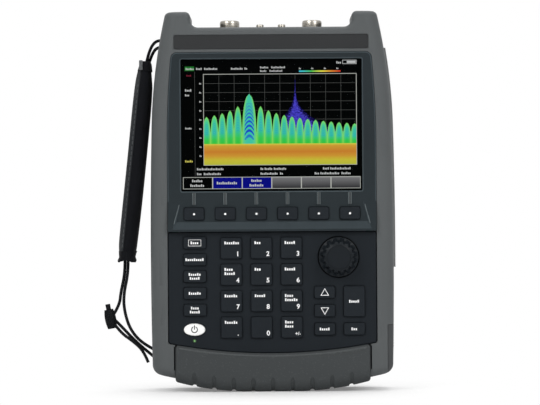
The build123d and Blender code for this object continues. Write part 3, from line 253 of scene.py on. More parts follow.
class Finish(Nodes):
    """A new material and the ways to add to it."""

    def __init__(self, name):
        self.material = bpy.data.materials.new(name)
        super().__init__(self.material)
        self.shader = self.tree.nodes["Principled BSDF"]

    def surface(self, values):
        """Set or link sockets of the surface shader."""
        for key, value in values.items():
            self.feed(self.shader.inputs[key], value)

    def place(self):
        return self.node("ShaderNodeTexCoord").out("Object")

    def parts(self, vector):
        """A vector's X, Y and Z, as three outputs."""
        return self.node("ShaderNodeSeparateXYZ", None, {"Vector": vector})

    def noise(self, scale, detail=2.0, vector=None):
        inputs = {"Vector": vector or self.place(), "Scale": scale, "Detail": detail}
        return self.node("ShaderNodeTexNoise", None, inputs)

    def mix(self, share, first, second):
        return self.node("ShaderNodeMix", {"data_type": "RGBA"}, {0: share, 6: first, 7: second}).out(2)

    def ramp(self, share, stops):
        return self.node("ShaderNodeValToRGB", {"stops": stops}, {"Fac": share})

    def bump(self, height, strength, distance):
        values = {"Height": height, "Strength": strength, "Distance": distance}
        return self.node("ShaderNodeBump", None, values)


# %% Colours
WHITE = (1, 1, 1, 1)
BLACK = (0, 0, 0, 1)


def srgb(red, green, blue):
    """A colour read from a picture, 0 to 255, as the linear colour that Blender uses."""
    linear = []
    for value in (red, green, blue):
        share = value / 255
        linear.append(share / 12.92 if share <= 0.04045 else ((share + 0.055) / 1.055) ** 2.4)
    return (*linear, 1)


def lighter(colour, factor):
    """The same hue, brighter or darker."""
    return (*[min(channel * factor, 1) for channel in colour[:3]], 1)


print("material tools ready")

# %% [markdown]
# ## Light, floor and background
# Large soft lamps to the left, to the right and above draw the long gentle highlights on the
# rounded sides. The background is white to the camera, in reflections and through the window,
# and dim as a lamp, so that it doesn't wash out the colours. The floor is white to the same
# rays, and keeps a little shadow close to the bumper.

# %% World and lamps
world = bpy.data.worlds.new("studio")
bpy.context.scene.world = world
sky = Nodes(world)
dim_strength = 0.24
dim_side = sky.node("ShaderNodeBackground", None, {"Color": WHITE, "Strength": dim_strength})
white_side = sky.node("ShaderNodeBackground", None, {"Color": WHITE, "Strength": 1.0})
white_rays = ("Is Camera Ray", "Is Glossy Ray", "Is Transmission Ray")
sky.blend(sky.seen(*white_rays), dim_side, white_side, "World Output")
bpy.context.scene.view_settings.view_transform = "Standard"


def soft_lamp(name, place, target, size, watts):
    """Square area lamp that faces the target."""
    aim = (Vector(target) - Vector(place)).to_track_quat("-Z", "Y").to_euler()
    bpy.ops.object.light_add(type="AREA", location=place, rotation=aim)
    lamp = bpy.context.object
    lamp.name = name
    lamp.data.size = size
    lamp.data.energy = watts


soft_lamp("lamp_left", place=(-1.1, -1.4, 1.4), target=(0, 0, 0.15), size=1.0, watts=19)
soft_lamp("lamp_right", place=(1.1, -1.4, 1.2), target=(0, 0, 0.15), size=1.0, watts=16)
soft_lamp("lamp_top", place=(0.1, 0.4, 1.7), target=(0, 0, 0.1), size=1.2, watts=20)

# %% Floor
shadow_inside, white_outside, least_white = 0.06, 0.16, 0.2
bpy.ops.mesh.primitive_plane_add(size=8, location=(0, 0, -0.1 * MM))
floor = bpy.context.object
floor.name = "floor"
pale = Finish("pale_floor")
pale.surface({"Base Color": (0.93, 0.93, 0.93, 1), "Roughness": 1.0})
apart = pale.node("ShaderNodeVectorMath", {"operation": "LENGTH"}, {0: pale.place()}).out("Value")
whiteness = pale.node(
    "ShaderNodeMapRange",
    None,
    {"Value": apart, "From Min": shadow_inside, "From Max": white_outside, "To Min": least_white},
)
glow = pale.node("ShaderNodeEmission", None, {"Strength": 1.0})
pale.blend(pale.seen(*white_rays) * whiteness, Wire(pale, pale.shader), glow, "Material Output")
paint(floor, pale.material)
print("studio ready")

# %% [markdown]
# ## Moulded plastic and rubber
# The shells are sprayed-looking grey plastic with a fine spark-eroded grain: tiny soft bumps,
# about half a millimetre apart, that scatter the highlight. Over that lies a faint cloudiness
# from handling. Rubber has the same build with a coarser, duller grain and pale dust.


# %% Plastic and rubber finishes
def moulded(name, colour, grain=2200, depth=0.05, rough=0.5, cloud=0.06, dust=0.0, gloss=0.05, painted_light=False):
    """Grained plastic or rubber with a faint cloudiness and dust. On request, slopes facing up and edges
    turned half forward are painted paler, as painted highlights.
    """
    finish = Finish(name)
    clouds = finish.noise(28, 3.0)
    fine = finish.noise(grain, 1.0)
    shade = finish.mix(clouds, lighter(colour, 1 - cloud), lighter(colour, 1 + cloud))
    shade = finish.mix(fine * 0.12, shade, lighter(colour, 1.5))
    if painted_light:
        # Painted highlights: faces that slope upwards and edges turned half towards the front are painted
        # paler, where the lamps above and at the sides would light them.
        facing = finish.node("ShaderNodeNewGeometry").out("True Normal")
        tilt = finish.parts(facing)
        slope, front = tilt.out("Z"), tilt.out("Y")
        painted_lit_slope = (slope > 0.2) * (slope < 0.6)
        painted_edge_highlight = (front > -0.85) * (front < -0.5)
        shade = finish.mix(painted_lit_slope, shade, lighter(colour, 1.75))
        shade = finish.mix(painted_edge_highlight, shade, lighter(colour, 2.6))
    if dust:
        specks = finish.noise(900, 0.0) > 0.72
        shade = finish.mix(specks * dust, shade, lighter(colour, 2.2))
    finish.surface(
        {
            "Base Color": shade,
            "Roughness": rough - 0.06 + clouds * 0.12,
            "Normal": finish.bump(fine, 0.35, depth * MM),
            "Specular IOR Level": gloss,
        }
    )
    return finish.material


housing_grey = moulded("housing_grey", srgb(87, 90, 91), grain=1900, depth=0.06, rough=0.46)
latch_black = moulded("latch_black", srgb(48, 50, 52), rough=0.5)
# The bezel's upward slopes and half-turned edges get painted highlights.
bezel_slate = moulded("bezel_slate", srgb(41, 47, 50), grain=2600, depth=0.03, rough=0.42, painted_light=True)
panel_dark = moulded("panel_dark", srgb(32, 36, 40), grain=2600, depth=0.03, rough=0.44)
title_dark = moulded("title_dark", srgb(52, 53, 54), grain=3200, depth=0.015, rough=0.36, cloud=0.03)
key_rubber = moulded("key_rubber", srgb(34, 38, 42), grain=1600, depth=0.04, rough=0.6, dust=0.15)
power_white = moulded("power_white", srgb(252, 252, 250), grain=1600, depth=0.03, rough=0.5, cloud=0.02)
bumper_rubber = moulded("bumper_rubber", srgb(67, 70, 71), grain=1400, depth=0.06, rough=0.62, dust=0.2)
cover_rubber = moulded("cover_rubber", srgb(122, 124, 124), grain=1400, depth=0.06, rough=0.62, dust=0.15)
# Painted highlight: a paler bezel colour for the beads along the rounded edges of the ribs and the ramp.
bezel_painted_highlight = moulded("bezel_painted_highlight", srgb(104, 112, 114), grain=2600, depth=0.02, rough=0.4)
# Painted highlight: a paler colour for the round crown of each softkey rib, standing in for light on its
# top.
bezel_rib_painted_highlight = moulded("bezel_rib_painted_highlight", srgb(76, 80, 81), grain=2600, depth=0.02, rough=0.42)
# Painted highlight: paler rubber for the bead along the bumper's upper lip; its specks are dust.
bumper_painted_highlight = moulded("bumper_painted_highlight", srgb(80, 83, 84), grain=1400, depth=0.05, rough=0.6, dust=0.2)
# Painted shade: a flat black for thin pieces that stand for the shadow in gaps.
shade_black = moulded("shade_black", srgb(8, 9, 10), rough=0.8, gloss=0.02)
door_grey = moulded("door_grey", srgb(72, 74, 75), grain=1900, depth=0.06, rough=0.5)
knob_black = moulded(
    "knob_black", srgb(25, 29, 33), grain=2400, depth=0.02, rough=0.36, cloud=0.04, gloss=0.1
)
mat_grey = moulded("mat_grey", srgb(150, 152, 154), rough=0.7)
battery_black = moulded("battery_black", srgb(36, 36, 38), rough=0.5)
lock_black = moulded("lock_black", srgb(26, 27, 29), grain=1800, depth=0.03, rough=0.42)
print("plastics", len(bpy.data.materials))

# %% [markdown]
# ## Metal, boards and lamps
# The ports are turned from stainless steel, so their roughness runs in fine rings round the
# axis. The pins are gilt, and the insulators are cream plastic. The lamp under the power button
# is a clear green light pipe, which glows.


# %% Metal finishes
def turned_metal(name, colour, rough, rings=5200, metallic=1.0):
    """Metal with the fine rings that a lathe leaves, stacked along Z."""
    finish = Finish(name)
    place = finish.place()
    ring = (finish.parts(place).out("Z") * rings).sine()
    haze = finish.noise(420, 2.0, place)
    finish.surface(
        {
            "Base Color": finish.mix(haze, lighter(colour, 0.86), lighter(colour, 1.06)),
            "Metallic": metallic,
            "Roughness": rough - 0.05 + haze * 0.1 + ring * 0.03,
            "Normal": finish.bump(ring, 0.15, 0.01 * MM),
        }
    )
    return finish.material


port_steel = turned_metal("port_steel", srgb(158, 154, 146), 0.28)
plain_steel = turned_metal("plain_steel", srgb(178, 180, 182), 0.32, rings=2600)
shield_tin = turned_metal("shield_tin", srgb(196, 198, 200), 0.4, rings=900)
pin_gilt = turned_metal("pin_gilt", srgb(214, 170, 84), 0.22)
insulator_cream = moulded(
    "insulator_cream", srgb(226, 220, 204), grain=2400, depth=0.01, rough=0.4, cloud=0.02
)


# %% Sockets, boards and the lamp
def socket_block(name, face):
    """Black plastic whose sockets, deeper than the face, are lined with tinned steel."""
    finish = Finish(name)
    place = finish.place()
    grain = finish.noise(900, 2.0, place)
    lining = finish.parts(place).out("X") < face - 0.2 * MM
    plastic = finish.mix(grain, srgb(30, 31, 33), srgb(38, 39, 41))
    tin = finish.mix(grain, srgb(150, 152, 154), srgb(186, 188, 190))
    finish.surface(
        {
            "Base Color": finish.mix(lining, plastic, tin),
            "Metallic": lining * 0.7,
            "Roughness": 0.4 + grain * 0.1,
        }
    )
    return finish.material


socket_black = socket_block("socket_black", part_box("right_ports")[1].x)


def circuit_board(name):
    """Green solder resist over straight copper tracks."""
    finish = Finish(name)
    place = finish.place()
    bricks = finish.node(
        "ShaderNodeTexBrick",
        None,
        {
            "Vector": finish.node("ShaderNodeMapping", None, {"Vector": place, "Rotation": UPRIGHT}),
            "Color1": srgb(16, 78, 46),
            "Color2": srgb(20, 90, 54),
            "Mortar": srgb(34, 118, 70),
            "Scale": 120.0,
            "Mortar Size": 0.03,
        },
    )
    finish.surface(
        {
            "Base Color": bricks,
            "Roughness": 0.3 + 0.1 * finish.noise(300),
            "Normal": finish.bump(bricks.out("Fac"), 0.4, 0.03 * MM),
        }
    )
    return finish.material


board_green = circuit_board("board_green")


def glowing(name, colour, node, radius):
    """A lit light pipe, brightest at the middle of its node."""
    finish = Finish(name)
    from_front = finish.node(
        "ShaderNodeVectorMath",
        {"operation": "DISTANCE"},
        {0: finish.place(), 1: (middle(node).x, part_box(node)[0].y, middle(node).z)},
    ).out("Value")
    speckle = finish.noise(1400, 1.0)
    stops = [
        (0.0, srgb(236, 250, 226)),
        (0.3, colour),
        (0.5, lighter(colour, 0.12)),
        (1.0, lighter(colour, 0.05)),
    ]
    finish.surface(
        {
            "Base Color": finish.mix(speckle, lighter(colour, 0.1), lighter(colour, 0.2)),
            "Roughness": 0.25 + speckle * 0.1,
            "Emission Color": finish.ramp(from_front * (1 / radius), stops),
            "Emission Strength": 0.8,
        }
    )
    return finish.material


lamp_green = glowing("lamp_green", srgb(130, 205, 110), "power_led", 1.1 * MM)
print("with metals, boards and lamp", len(bpy.data.materials))

# %% [markdown]
# ## Cloth and cord
# The strap is black nylon. A weave is two sets of ribs that cross, one up and one down by turns.
# Sine waves along two directions of the piece give the ribs, and a sheen lifts the edges as
# loose fibres do. The cord is a braid, with ribs that run round it at a slant.


# %% Woven finishes
def woven(name, colour, pitch, contrast=0.5, rough=0.85):
    """Plain weave with threads this far apart, in metres."""
    finish = Finish(name)
    place = finish.parts(finish.place())
    turns = 2 * math.pi / pitch
    up = (place.out("Z") * turns).sine()
    across = ((place.out("Y") + place.out("X") * 0.8) * turns).sine()
    threads = 0.5 + 0.5 * up * across
    wear = finish.noise(55, 3.0)
    shade = finish.mix(threads, lighter(colour, 1 - contrast), lighter(colour, 1 + contrast))
    shade = finish.mix(wear * 0.35, shade, lighter(colour, 1.7))
    finish.surface(
        {
            "Base Color": shade,
            "Roughness": rough - 0.1 + wear * 0.15,
            "Normal": finish.bump(threads, 0.5, 0.12 * MM),
            "Sheen Weight": 0.04,
            "Specular IOR Level": 0.04,
            "Sheen Roughness": 0.5,
        }
    )
    return finish.material


strap_nylon = woven("strap_nylon", srgb(17, 18, 21), 0.9 * MM)
strap_binding = woven("strap_binding", srgb(44, 46, 48), 0.9 * MM, contrast=0.3)
cord_braid = woven("cord_braid", srgb(27, 28, 30), 0.8 * MM, contrast=0.6)
thread_grey = woven("thread_grey", srgb(86, 88, 90), 0.4 * MM, contrast=0.3)
print("with cloths", len(bpy.data.materials))

# %% [markdown]
# ## Clear window
# The window has an anti-glare coat, so it hardly shows. A thin veil with a soft gloss is enough,
# and leaves the picture behind it dark where the real screen is dark.

# %% Window finish
window = Finish("window_clear")
smear = window.noise(60, 3.0)
window.surface(
    {
        "Base Color": srgb(12, 14, 15),
        "Roughness": 0.08 + smear * 0.1,
        "Alpha": 0.008 + smear * 0.01,
        "IOR": 1.45,
        "Specular IOR Level": 0.02,
    }
)
window_clear = window.material
window_clear.surface_render_method = "BLENDED"
print("window", window_clear.name)

# %% [markdown]
# ## Colours of the lit screen
# A screen makes its own light, so its finishes only glow. Plain colours carry the fine stripes of
# the picture cells. The lobes, the noise band and the colour scale run through several colours.
# Those follow the map of their patch, which runs from 0 to 1 across it and up it.


# %% Screen finishes
def lit(name, build):
    """A finish that only glows, for things on the screen. build gives its colour."""
    finish = Finish(name)
    finish.surface(
        {
            "Base Color": (0.0005, 0.0005, 0.0005, 1),
            "Roughness": 0.5,
            "Emission Color": build(finish),
            "Emission Strength": 1.0,
            "Specular IOR Level": 0.0,
        }
    )
    return finish.material


def dotted(finish, colour):
    """A screen colour with the faint stripes of its picture cells."""
    cell_pitch = 0.24 * MM
    cells = (finish.parts(finish.place()).out("X") * (2 * math.pi / cell_pitch)).sine()
    return finish.mix(0.5 + 0.5 * cells, lighter(colour, 0.9), lighter(colour, 1.1))


def patch_place(finish):
    """Across and up a patch, both from 0 to 1, from the patch's own map."""
    place = finish.parts(finish.node("ShaderNodeTexCoord").out("UV"))
    return place.out("X"), place.out("Y")


# %% Colours that follow a patch
def lobe_colour(finish):
    """Green skin over a cyan heart."""
    across, up = patch_place(finish)
    heart = finish.ramp(
        up,
        [
            (0.0, srgb(54, 192, 62)),
            (0.16, srgb(52, 196, 84)),
            (0.4, srgb(54, 190, 164)),
            (0.8, srgb(66, 200, 150)),
            (1.0, srgb(120, 214, 96)),
        ],
    )
    edge = abs(across - 0.5) * 2
    skin = finish.mix(edge**3, heart, srgb(134, 218, 92))
    arch = ((up + edge**2 * 0.2) * 90).sine()
    inside = (edge < 0.45) * (up < 0.75) * (up > 0.3)
    return finish.mix((arch > 0.0) * inside * 0.4, skin, srgb(40, 140, 196))


def main_lobe_colour(finish):
    """The tallest lobe has blue arches one above the other in its heart."""
    across, up = patch_place(finish)
    side = abs(across - 0.5) * 2
    rise = up + side**2 * 0.22
    arch = (rise * 44 + rise**2 * 32).sine()
    inside = (side < 0.66) * (up < 0.82) * (up > 0.08)
    base = finish.mix(side**3, srgb(62, 196, 164), srgb(124, 214, 92))
    blues = [
        (0.05, srgb(50, 150, 190)),
        (0.25, srgb(28, 72, 196)),
        (0.5, srgb(34, 92, 200)),
        (0.8, srgb(62, 160, 180)),
    ]
    return finish.mix((arch > -0.1) * inside, base, finish.ramp(up, blues))


def lobe_foot_colour(finish):
    """Green that shows between the feet of the lobes, yellower towards the noise band."""
    up = patch_place(finish)[1]
    green = finish.ramp(up, [(0.0, srgb(60, 196, 66)), (0.5, srgb(56, 190, 90)), (1.0, srgb(52, 170, 140))])
    return finish.mix((1 - up) * 0.4, green, srgb(150, 206, 60))


def floor_colour(finish):
    """The noise band: yellow edge, orange heart and a yellow-green foot."""
    up = patch_place(finish)[1]
    streak = finish.noise(500, 1.0)
    band = finish.ramp(
        up,
        [
            (0.0, srgb(178, 190, 62)),
            (0.22, srgb(196, 190, 58)),
            (0.42, srgb(202, 150, 52)),
            (0.62, srgb(196, 126, 46)),
            (0.9, srgb(204, 158, 54)),
            (1.0, srgb(208, 208, 76)),
        ],
    )
    return finish.mix(streak * 0.2, band, srgb(186, 110, 40))


def spike_colour(finish):
    """Indigo speckle that thins out at its edges and fades at its tip."""
    across, up = patch_place(finish)
    streak = finish.noise(1600, 2.0)
    edge = abs(across - 0.5) * 2
    dense = finish.ramp(streak + 0.2 - edge * 0.55, [(0.3, BLACK), (0.5, WHITE)])
    speckle = finish.ramp(streak, [(0.38, srgb(36, 32, 132)), (0.62, srgb(82, 74, 214))])
    body = finish.mix(dense, srgb(8, 6, 40), speckle)
    tip = finish.ramp(up, [(0.6, BLACK), (1.0, lighter(WHITE, 0.8))])
    return finish.mix(tip, body, srgb(14, 12, 52))


def scale_colour(finish):
    """Colour scale from cyan through green and yellow to red."""
    across = patch_place(finish)[0]
    stops = [
        (0.0, srgb(60, 190, 220)),
        (0.3, srgb(70, 190, 80)),
        (0.55, srgb(220, 210, 70)),
        (0.78, srgb(220, 130, 50)),
        (1.0, srgb(200, 40, 40)),
    ]
    return finish.ramp(across, stops)


def grey_label_colour(finish):
    """Empty softkey label: grey that darkens downwards."""
    up = patch_place(finish)[1]
    return finish.ramp(up, [(0.0, srgb(44, 44, 46)), (0.9, srgb(112, 112, 114)), (1.0, srgb(140, 140, 142))])


# %% All the screen's colours
def plain_light(name, red, green, blue):
    """One plain screen colour."""
    return lit(name, lambda finish: dotted(finish, srgb(red, green, blue)))


screen_black = plain_light("screen_black", 3, 4, 4)
screen_white = plain_light("screen_white", 190, 192, 192)
screen_grid = plain_light("screen_grid", 84, 86, 84)
screen_frame = plain_light("screen_frame", 176, 178, 172)
screen_red = plain_light("screen_red", 120, 34, 52)
screen_navy = plain_light("screen_navy", 10, 14, 122)
screen_green = plain_light("screen_green", 34, 112, 44)
screen_yellow = plain_light("screen_yellow", 204, 196, 92)
screen_lobe = lit("screen_lobe", lobe_colour)
screen_main_lobe = lit("screen_main_lobe", main_lobe_colour)
screen_floor = lit("screen_floor", floor_colour)
screen_lobe_foot = lit("screen_lobe_foot", lobe_foot_colour)
screen_spike = lit("screen_spike", spike_colour)
screen_scale = lit("screen_scale", scale_colour)
screen_label = lit("screen_label", grey_label_colour)
print("finishes", len(bpy.data.materials))

# %% [markdown]
# ## Finishes on the CAD nodes
# The nodes keep their meshes. Only the material in their slot changes.

# %% Dress the nodes
node_finishes = {
    housing_grey: ["front_housing", "rear_housing", "bail_stand"],
    door_grey: ["battery_door"],
    latch_black: ["battery_latch"],
    bezel_slate: ["display_bezel"],
    panel_dark: ["keypad_panel"],
    title_dark: ["title_strip"],
    power_white: ["power_button"],
    bumper_rubber: ["bottom_bumper"],
    cover_rubber: ["right_port_door"],
    window_clear: ["display_window"],
    screen_black: ["display_module"],
    mat_grey: ["keypad_mat"],
    board_green: ["keypad_board", "main_board"],
    shield_tin: ["rf_module", "rotary_encoder"],
    plain_steel: ["encoder_shaft", "housing_screws"],
    battery_black: ["battery_pack"],
    socket_black: ["right_ports"],
    lamp_green: ["power_led"],
    lock_black: ["cord_lock", "cord_lock_plunger"],
    knob_black: ["knob"],
    port_steel: ["port_1_connector", "port_2_connector", "gps_connector", "reference_connector"],
    strap_nylon: ["strap_pad"],
    cord_braid: ["strap_cords"],
}
key_names = [
    name
    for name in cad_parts
    if name.startswith(("key_", "softkey_")) or name.endswith("_key")
]
node_finishes[key_rubber] = key_names
for finish, names in node_finishes.items():
    for name in names:
        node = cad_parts[name]
        for slot in node.material_slots:
            slot.material = finish
print("keys", len(key_names), "nodes dressed", sum(len(names) for names in node_finishes.values()))

# %% [markdown]
# ## The strap's cords
# The cord runs from two holes in the upper side of the body through the padded sleeve, down to
# the cord lock and back into the body, and ends in a short tail. Each strand is one smooth
# spline with the same control points as its solid, so it lies where the solid lies. A strand
# keeps to one depth, so its route is that depth and a list of places across and up.

# %% Cords
cord_radius = 1.2 * MM
strand_routes = {
    "cord_upper": (-1.5, [(-83.0, 270.8), (-88.0, 272.8), (-94.8, 264.4), (-97.2, 252.0)]),
    "cord_lower": (1.5, [(-82.4, 265.2), (-87.2, 267.6), (-92.8, 261.4), (-95.4, 252.0)]),
    "cord_to_body": (
        -1.5,
        [
            (-112.0, 101.0), (-112.0, 91.0), (-115.6, 75.0), (-115.4, 62.5),
            (-110.8, 47.0), (-100.5, 35.6), (-89.6, 30.4),
        ],
    ),
    "cord_to_lock": (
        1.5, [(-114.6, 101.0), (-114.6, 91.0), (-118.0, 76.0), (-119.0, 66.5), (-123.4, 59.4)]
    ),
    "cord_return": (1.5, [(-123.6, 55.6), (-117.8, 49.8), (-104.2, 35.2), (-89.6, 23.6)]),
    "cord_tail": (
        -1.5, [(-123.0, 51.6), (-117.6, 44.4), (-108.6, 38.2), (-100.4, 30.6), (-96.8, 21.6)]
    ),
}


def curve_along(name, kind, places):
    """Curve with one spline of this kind along places in metres."""
    curve = bpy.data.curves.new(name, "CURVE")
    curve.dimensions = "3D"
    curve.use_fill_caps = True
    spline = curve.splines.new(kind)
    spline.points.add(len(places) - 1)
    for point, place in zip(spline.points, places):
        point.co = (*place, 1)
    piece = bpy.data.objects.new(name, curve)
    bpy.context.scene.collection.objects.link(piece)
    return piece


def make_cord(name, places):
    """Round cord on one smooth spline, and its length."""
    strand = curve_along(name, "NURBS", places)
    spline = strand.data.splines[0]
    spline.order_u = 3
    spline.use_endpoint_u = True
    spline.resolution_u = 12
    line = bpy.data.meshes.new_from_object(strand)
    points = [point.co for point in line.vertices]
    length = sum((b - a).length for a, b in zip(points, points[1:]))
    bpy.data.meshes.remove(line)
    strand.data.bevel_depth = cord_radius
    strand.data.bevel_resolution = 5
    strand.data.materials.append(cord_braid)
    return strand, length


shortest_free_cord = 30 * MM
for name, (depth, route) in strand_routes.items():
    places = [(x * MM, depth * MM, z * MM) for x, z in route]
    strand, length = make_cord(name, places)
    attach(strand, "body")
    if length > shortest_free_cord:
        "bare" if name == "cord_tail" else "object"
    print(name, round(length * 1000, 1), "mm")
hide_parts("strap_cords")

# %% [markdown]
# ## The lit screen
# The display shows the spectrum of a pulsed signal: one tall lobe, lower lobes on both sides
# whose tips fall by the same law as the real ones, a narrow second signal and a noise band.
# Each thing is a thin flat patch just in front of the display, a few hundredths of a
# millimetre apart, so nothing flickers. Words are only rows of small blocks.

# %% Screen patches
display_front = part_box("display_module")[0][1]
layer_step = 0.03 * MM
graph_left, graph_right = -51.9, 65.2
graph_low, graph_high = 174.3, 243.8
band_high = 190.4
column = (graph_right - graph_left) / 10
row = (graph_high - graph_low) / 10


def stand(piece, place, width, height, finish):
    """Stand a flat piece, one wide and one high, upright at a place. Its sides are in millimetres."""
    piece.rotation_euler = UPRIGHT
    piece.scale = (width * MM, height * MM, 1)
    piece.location = place
    apply_place(piece)
    paint(piece, finish)
    return piece


def on_display(piece, x, width, low, high, layer, finish):
    """Stand a flat piece this many layers in front of the display."""
    place = (x * MM, display_front - layer * layer_step, (low + high) / 2 * MM)
    return stand(piece, place, width, high - low, finish)


def patch(left, right, low, high, layer, finish):
    """Flat rectangle in front of the display; its sides are in millimetres."""
    deselect()
    bpy.ops.mesh.primitive_plane_add(size=1)
    return on_display(bpy.context.object, (left + right) / 2, right - left, low, high, layer, finish)


def outline(left, right, low, high, width, layer, finish):
    """Four thin patches round a rectangle."""
    return [
        patch(left, right, low, low + width, layer, finish),
        patch(left, right, high - width, high, layer, finish),
        patch(left, left + width, low, high, layer, finish),
        patch(right - width, right, low, high, layer, finish),
    ]


def word(left, low, letters, height, layer, finish):
    """A row of small blocks that stands for a word."""
    blocks = []
    pitch = height * 0.72
    for i in range(letters):
        top = height * (1.0 if i % 3 == 0 else 0.72)
        start = left + i * pitch
        blocks.append(patch(start, start + pitch * 0.66, low, low + top, layer, finish))
    return blocks


line_half, frame_reach, frame_width = 0.1, 0.4, 0.45
grid_lines = []
for i in range(1, 10):
    x = graph_left + i * column
    z = graph_low + i * row
    grid_lines.append(patch(x - line_half, x + line_half, graph_low, graph_high, 1, screen_grid))
    grid_lines.append(patch(graph_left, graph_right, z - line_half, z + line_half, 1, screen_grid))
grid_lines += outline(
    graph_left - frame_reach,
    graph_right + frame_reach,
    graph_low - frame_reach,
    graph_high + frame_reach,
    frame_width,
    1.5,
    screen_frame,
)
line_count = len(grid_lines)
settle(join(grid_lines), "screen_graph", "body")
print("graph lines", line_count)

# %% [markdown]
# ## Shaping a mesh by hand
# Edit mode works on what is selected. The helpers below select the points or faces that pass a
# test, such as one row of a grid, and then an ordinary operator moves or scales just those.


# %% Selecting inside a mesh
def clear_selection(piece, kind):
    """Select nothing in a mesh, and set what edit mode selects: vertices or faces."""
    choose(piece)
    bpy.ops.object.mode_set(mode="EDIT")
    bpy.ops.mesh.select_mode(type=kind)
    bpy.ops.mesh.select_all(action="DESELECT")
    bpy.ops.object.mode_set(mode="OBJECT")


def edit_faces(piece, test):
    """Enter edit mode with those faces selected whose centre and normal pass the test."""
    clear_selection(piece, "FACE")
    for face in piece.data.polygons:
        face.select = test(face.center, face.normal)
    bpy.ops.object.mode_set(mode="EDIT")


def edit_points(piece, test):
    """Enter edit mode with those vertices selected whose place passes the test."""
    clear_selection(piece, "VERT")
    for point in piece.data.vertices:
        point.select = test(point.co)
    bpy.ops.object.mode_set(mode="EDIT")


def edit_all(piece):
    """Enter edit mode with the whole mesh selected."""
    choose(piece)
    bpy.ops.object.mode_set(mode="EDIT")
    bpy.ops.mesh.select_all(action="SELECT")


def cut(piece, place, normal, fill):
    """Cut a piece along a plane and remove what lies on the normal's side."""
    edit_all(piece)
    bpy.ops.mesh.bisect(plane_co=place, plane_no=normal, use_fill=fill, clear_outer=True)
    deselect()


def shaped_grid(columns, rows, sides):
    """Flat grid, one high. sides gives a row's left and right end from its share of the height."""
    deselect()
    bpy.ops.mesh.primitive_grid_add(x_subdivisions=columns, y_subdivisions=rows, size=1)
    grid = bpy.context.object
    for i in range(rows + 1):
        height = i / rows - 0.5
        left, right = sides(i / rows)
        edit_points(grid, lambda place: abs(place.y - height) < 0.01)
        bpy.ops.transform.resize(value=(right - left, 1, 1), center_override=(0, height, 0))
        bpy.ops.transform.translate(value=((left + right) / 2, 0, 0))
    deselect()
    return grid


# %% Lobes of the spectrum
def lobe_sides(share):
    """A foot one wide and a round top."""
    half = max(1 - share**2.4, 0.0004) ** 0.5 / 2
    return -half, half


unit_lobe = shaped_grid(10, 16, lobe_sides)


def lobe(x, width, tip, layer, finish):
    """A copy of the round-topped lobe that stands on the noise band."""
    return on_display(copy(unit_lobe), x, width, band_high, tip, layer, finish)


main_x = graph_left + 3 * column - 0.25
first_step, lobe_pitch, lobe_width = 8.75, 6.02, 6.3
first_tip, fall_per_decibel = 219.2, 0.714
main_width, main_tip = 11.2, 228.6
foot_high = 199.6
lobes = []
for side, count in ((-1, 5), (1, 13)):
    for n in range(1, count + 1):
        fall = 20 * math.log10((n + 0.5) / 1.5) * fall_per_decibel
        x = main_x + side * (first_step + (n - 1) * lobe_pitch)
        lobes.append(lobe(x, lobe_width, first_tip - fall, 4, screen_lobe))
lobe_count = len(lobes)
all_lobes = join(lobes)
cut(all_lobes, (graph_right * MM, 0, 0), (1, 0, 0), False)
cut(all_lobes, (graph_left * MM, 0, 0), (-1, 0, 0), False)
settle(all_lobes, "screen_lobes", "body")
feet = patch(graph_left, graph_right, band_high, foot_high, 3.4, screen_lobe_foot)
settle(feet, "screen_lobe_feet", "body")
main_lobe = lobe(main_x, main_width, main_tip, 4.5, screen_main_lobe)
settle(main_lobe, "screen_main_lobe", "body")
bpy.data.objects.remove(unit_lobe)
print("lobes", lobe_count)

# %% Second signal and noise band
spike_x = graph_left + 6 * column
spike_low, spike_high = 198.0, 239.6
reach_left, reach_right, spike_half = 28.0, 46.0, 0.2
fall_left, fall_right = 3.0, 3.6


def spike_sides(share):
    """A foot that reaches far to both sides and draws in towards the tip."""
    left = -spike_half - reach_left * (1 - share) ** fall_left
    right = spike_half + reach_right * (1 - share) ** fall_right
    return left, right


spike = shaped_grid(16, 20, spike_sides)
on_display(spike, spike_x, 1, spike_low, spike_high, 2.5, screen_spike)
settle(spike, "screen_spike", "body")
noise_band = patch(graph_left, graph_right, graph_low, band_high, 5, screen_floor)
settle(noise_band, "screen_noise_band", "body")
print("spike points", len(spike.data.vertices))

# %% Labels round the graph
scale_left, scale_right = 21.4, 53.4
label_left, label_right = -68.2, 68.2
back_layer, text_layer, top_layer = 2, 3, 3.5
labels = [patch(scale_left, scale_right, 245.3, 246.5, text_layer, screen_scale)]
labels += outline(54.8, 65.6, 251.3, 254.4, 0.35, text_layer, screen_white)
labels.append(patch(58.2, 64.9, 252.0, 253.7, text_layer, screen_white))
labels.append(patch(-66.4, -59.2, 246.6, 250.0, back_layer, screen_green))
labels += word(-65.0, 242.4, 4, 1.3, text_layer, screen_red)
labels.append(patch(-58.9, -58.7, 166.0, 246.0, back_layer, screen_grid))
labels += word(-66.4, 176.4, 5, 1.7, text_layer, screen_yellow)

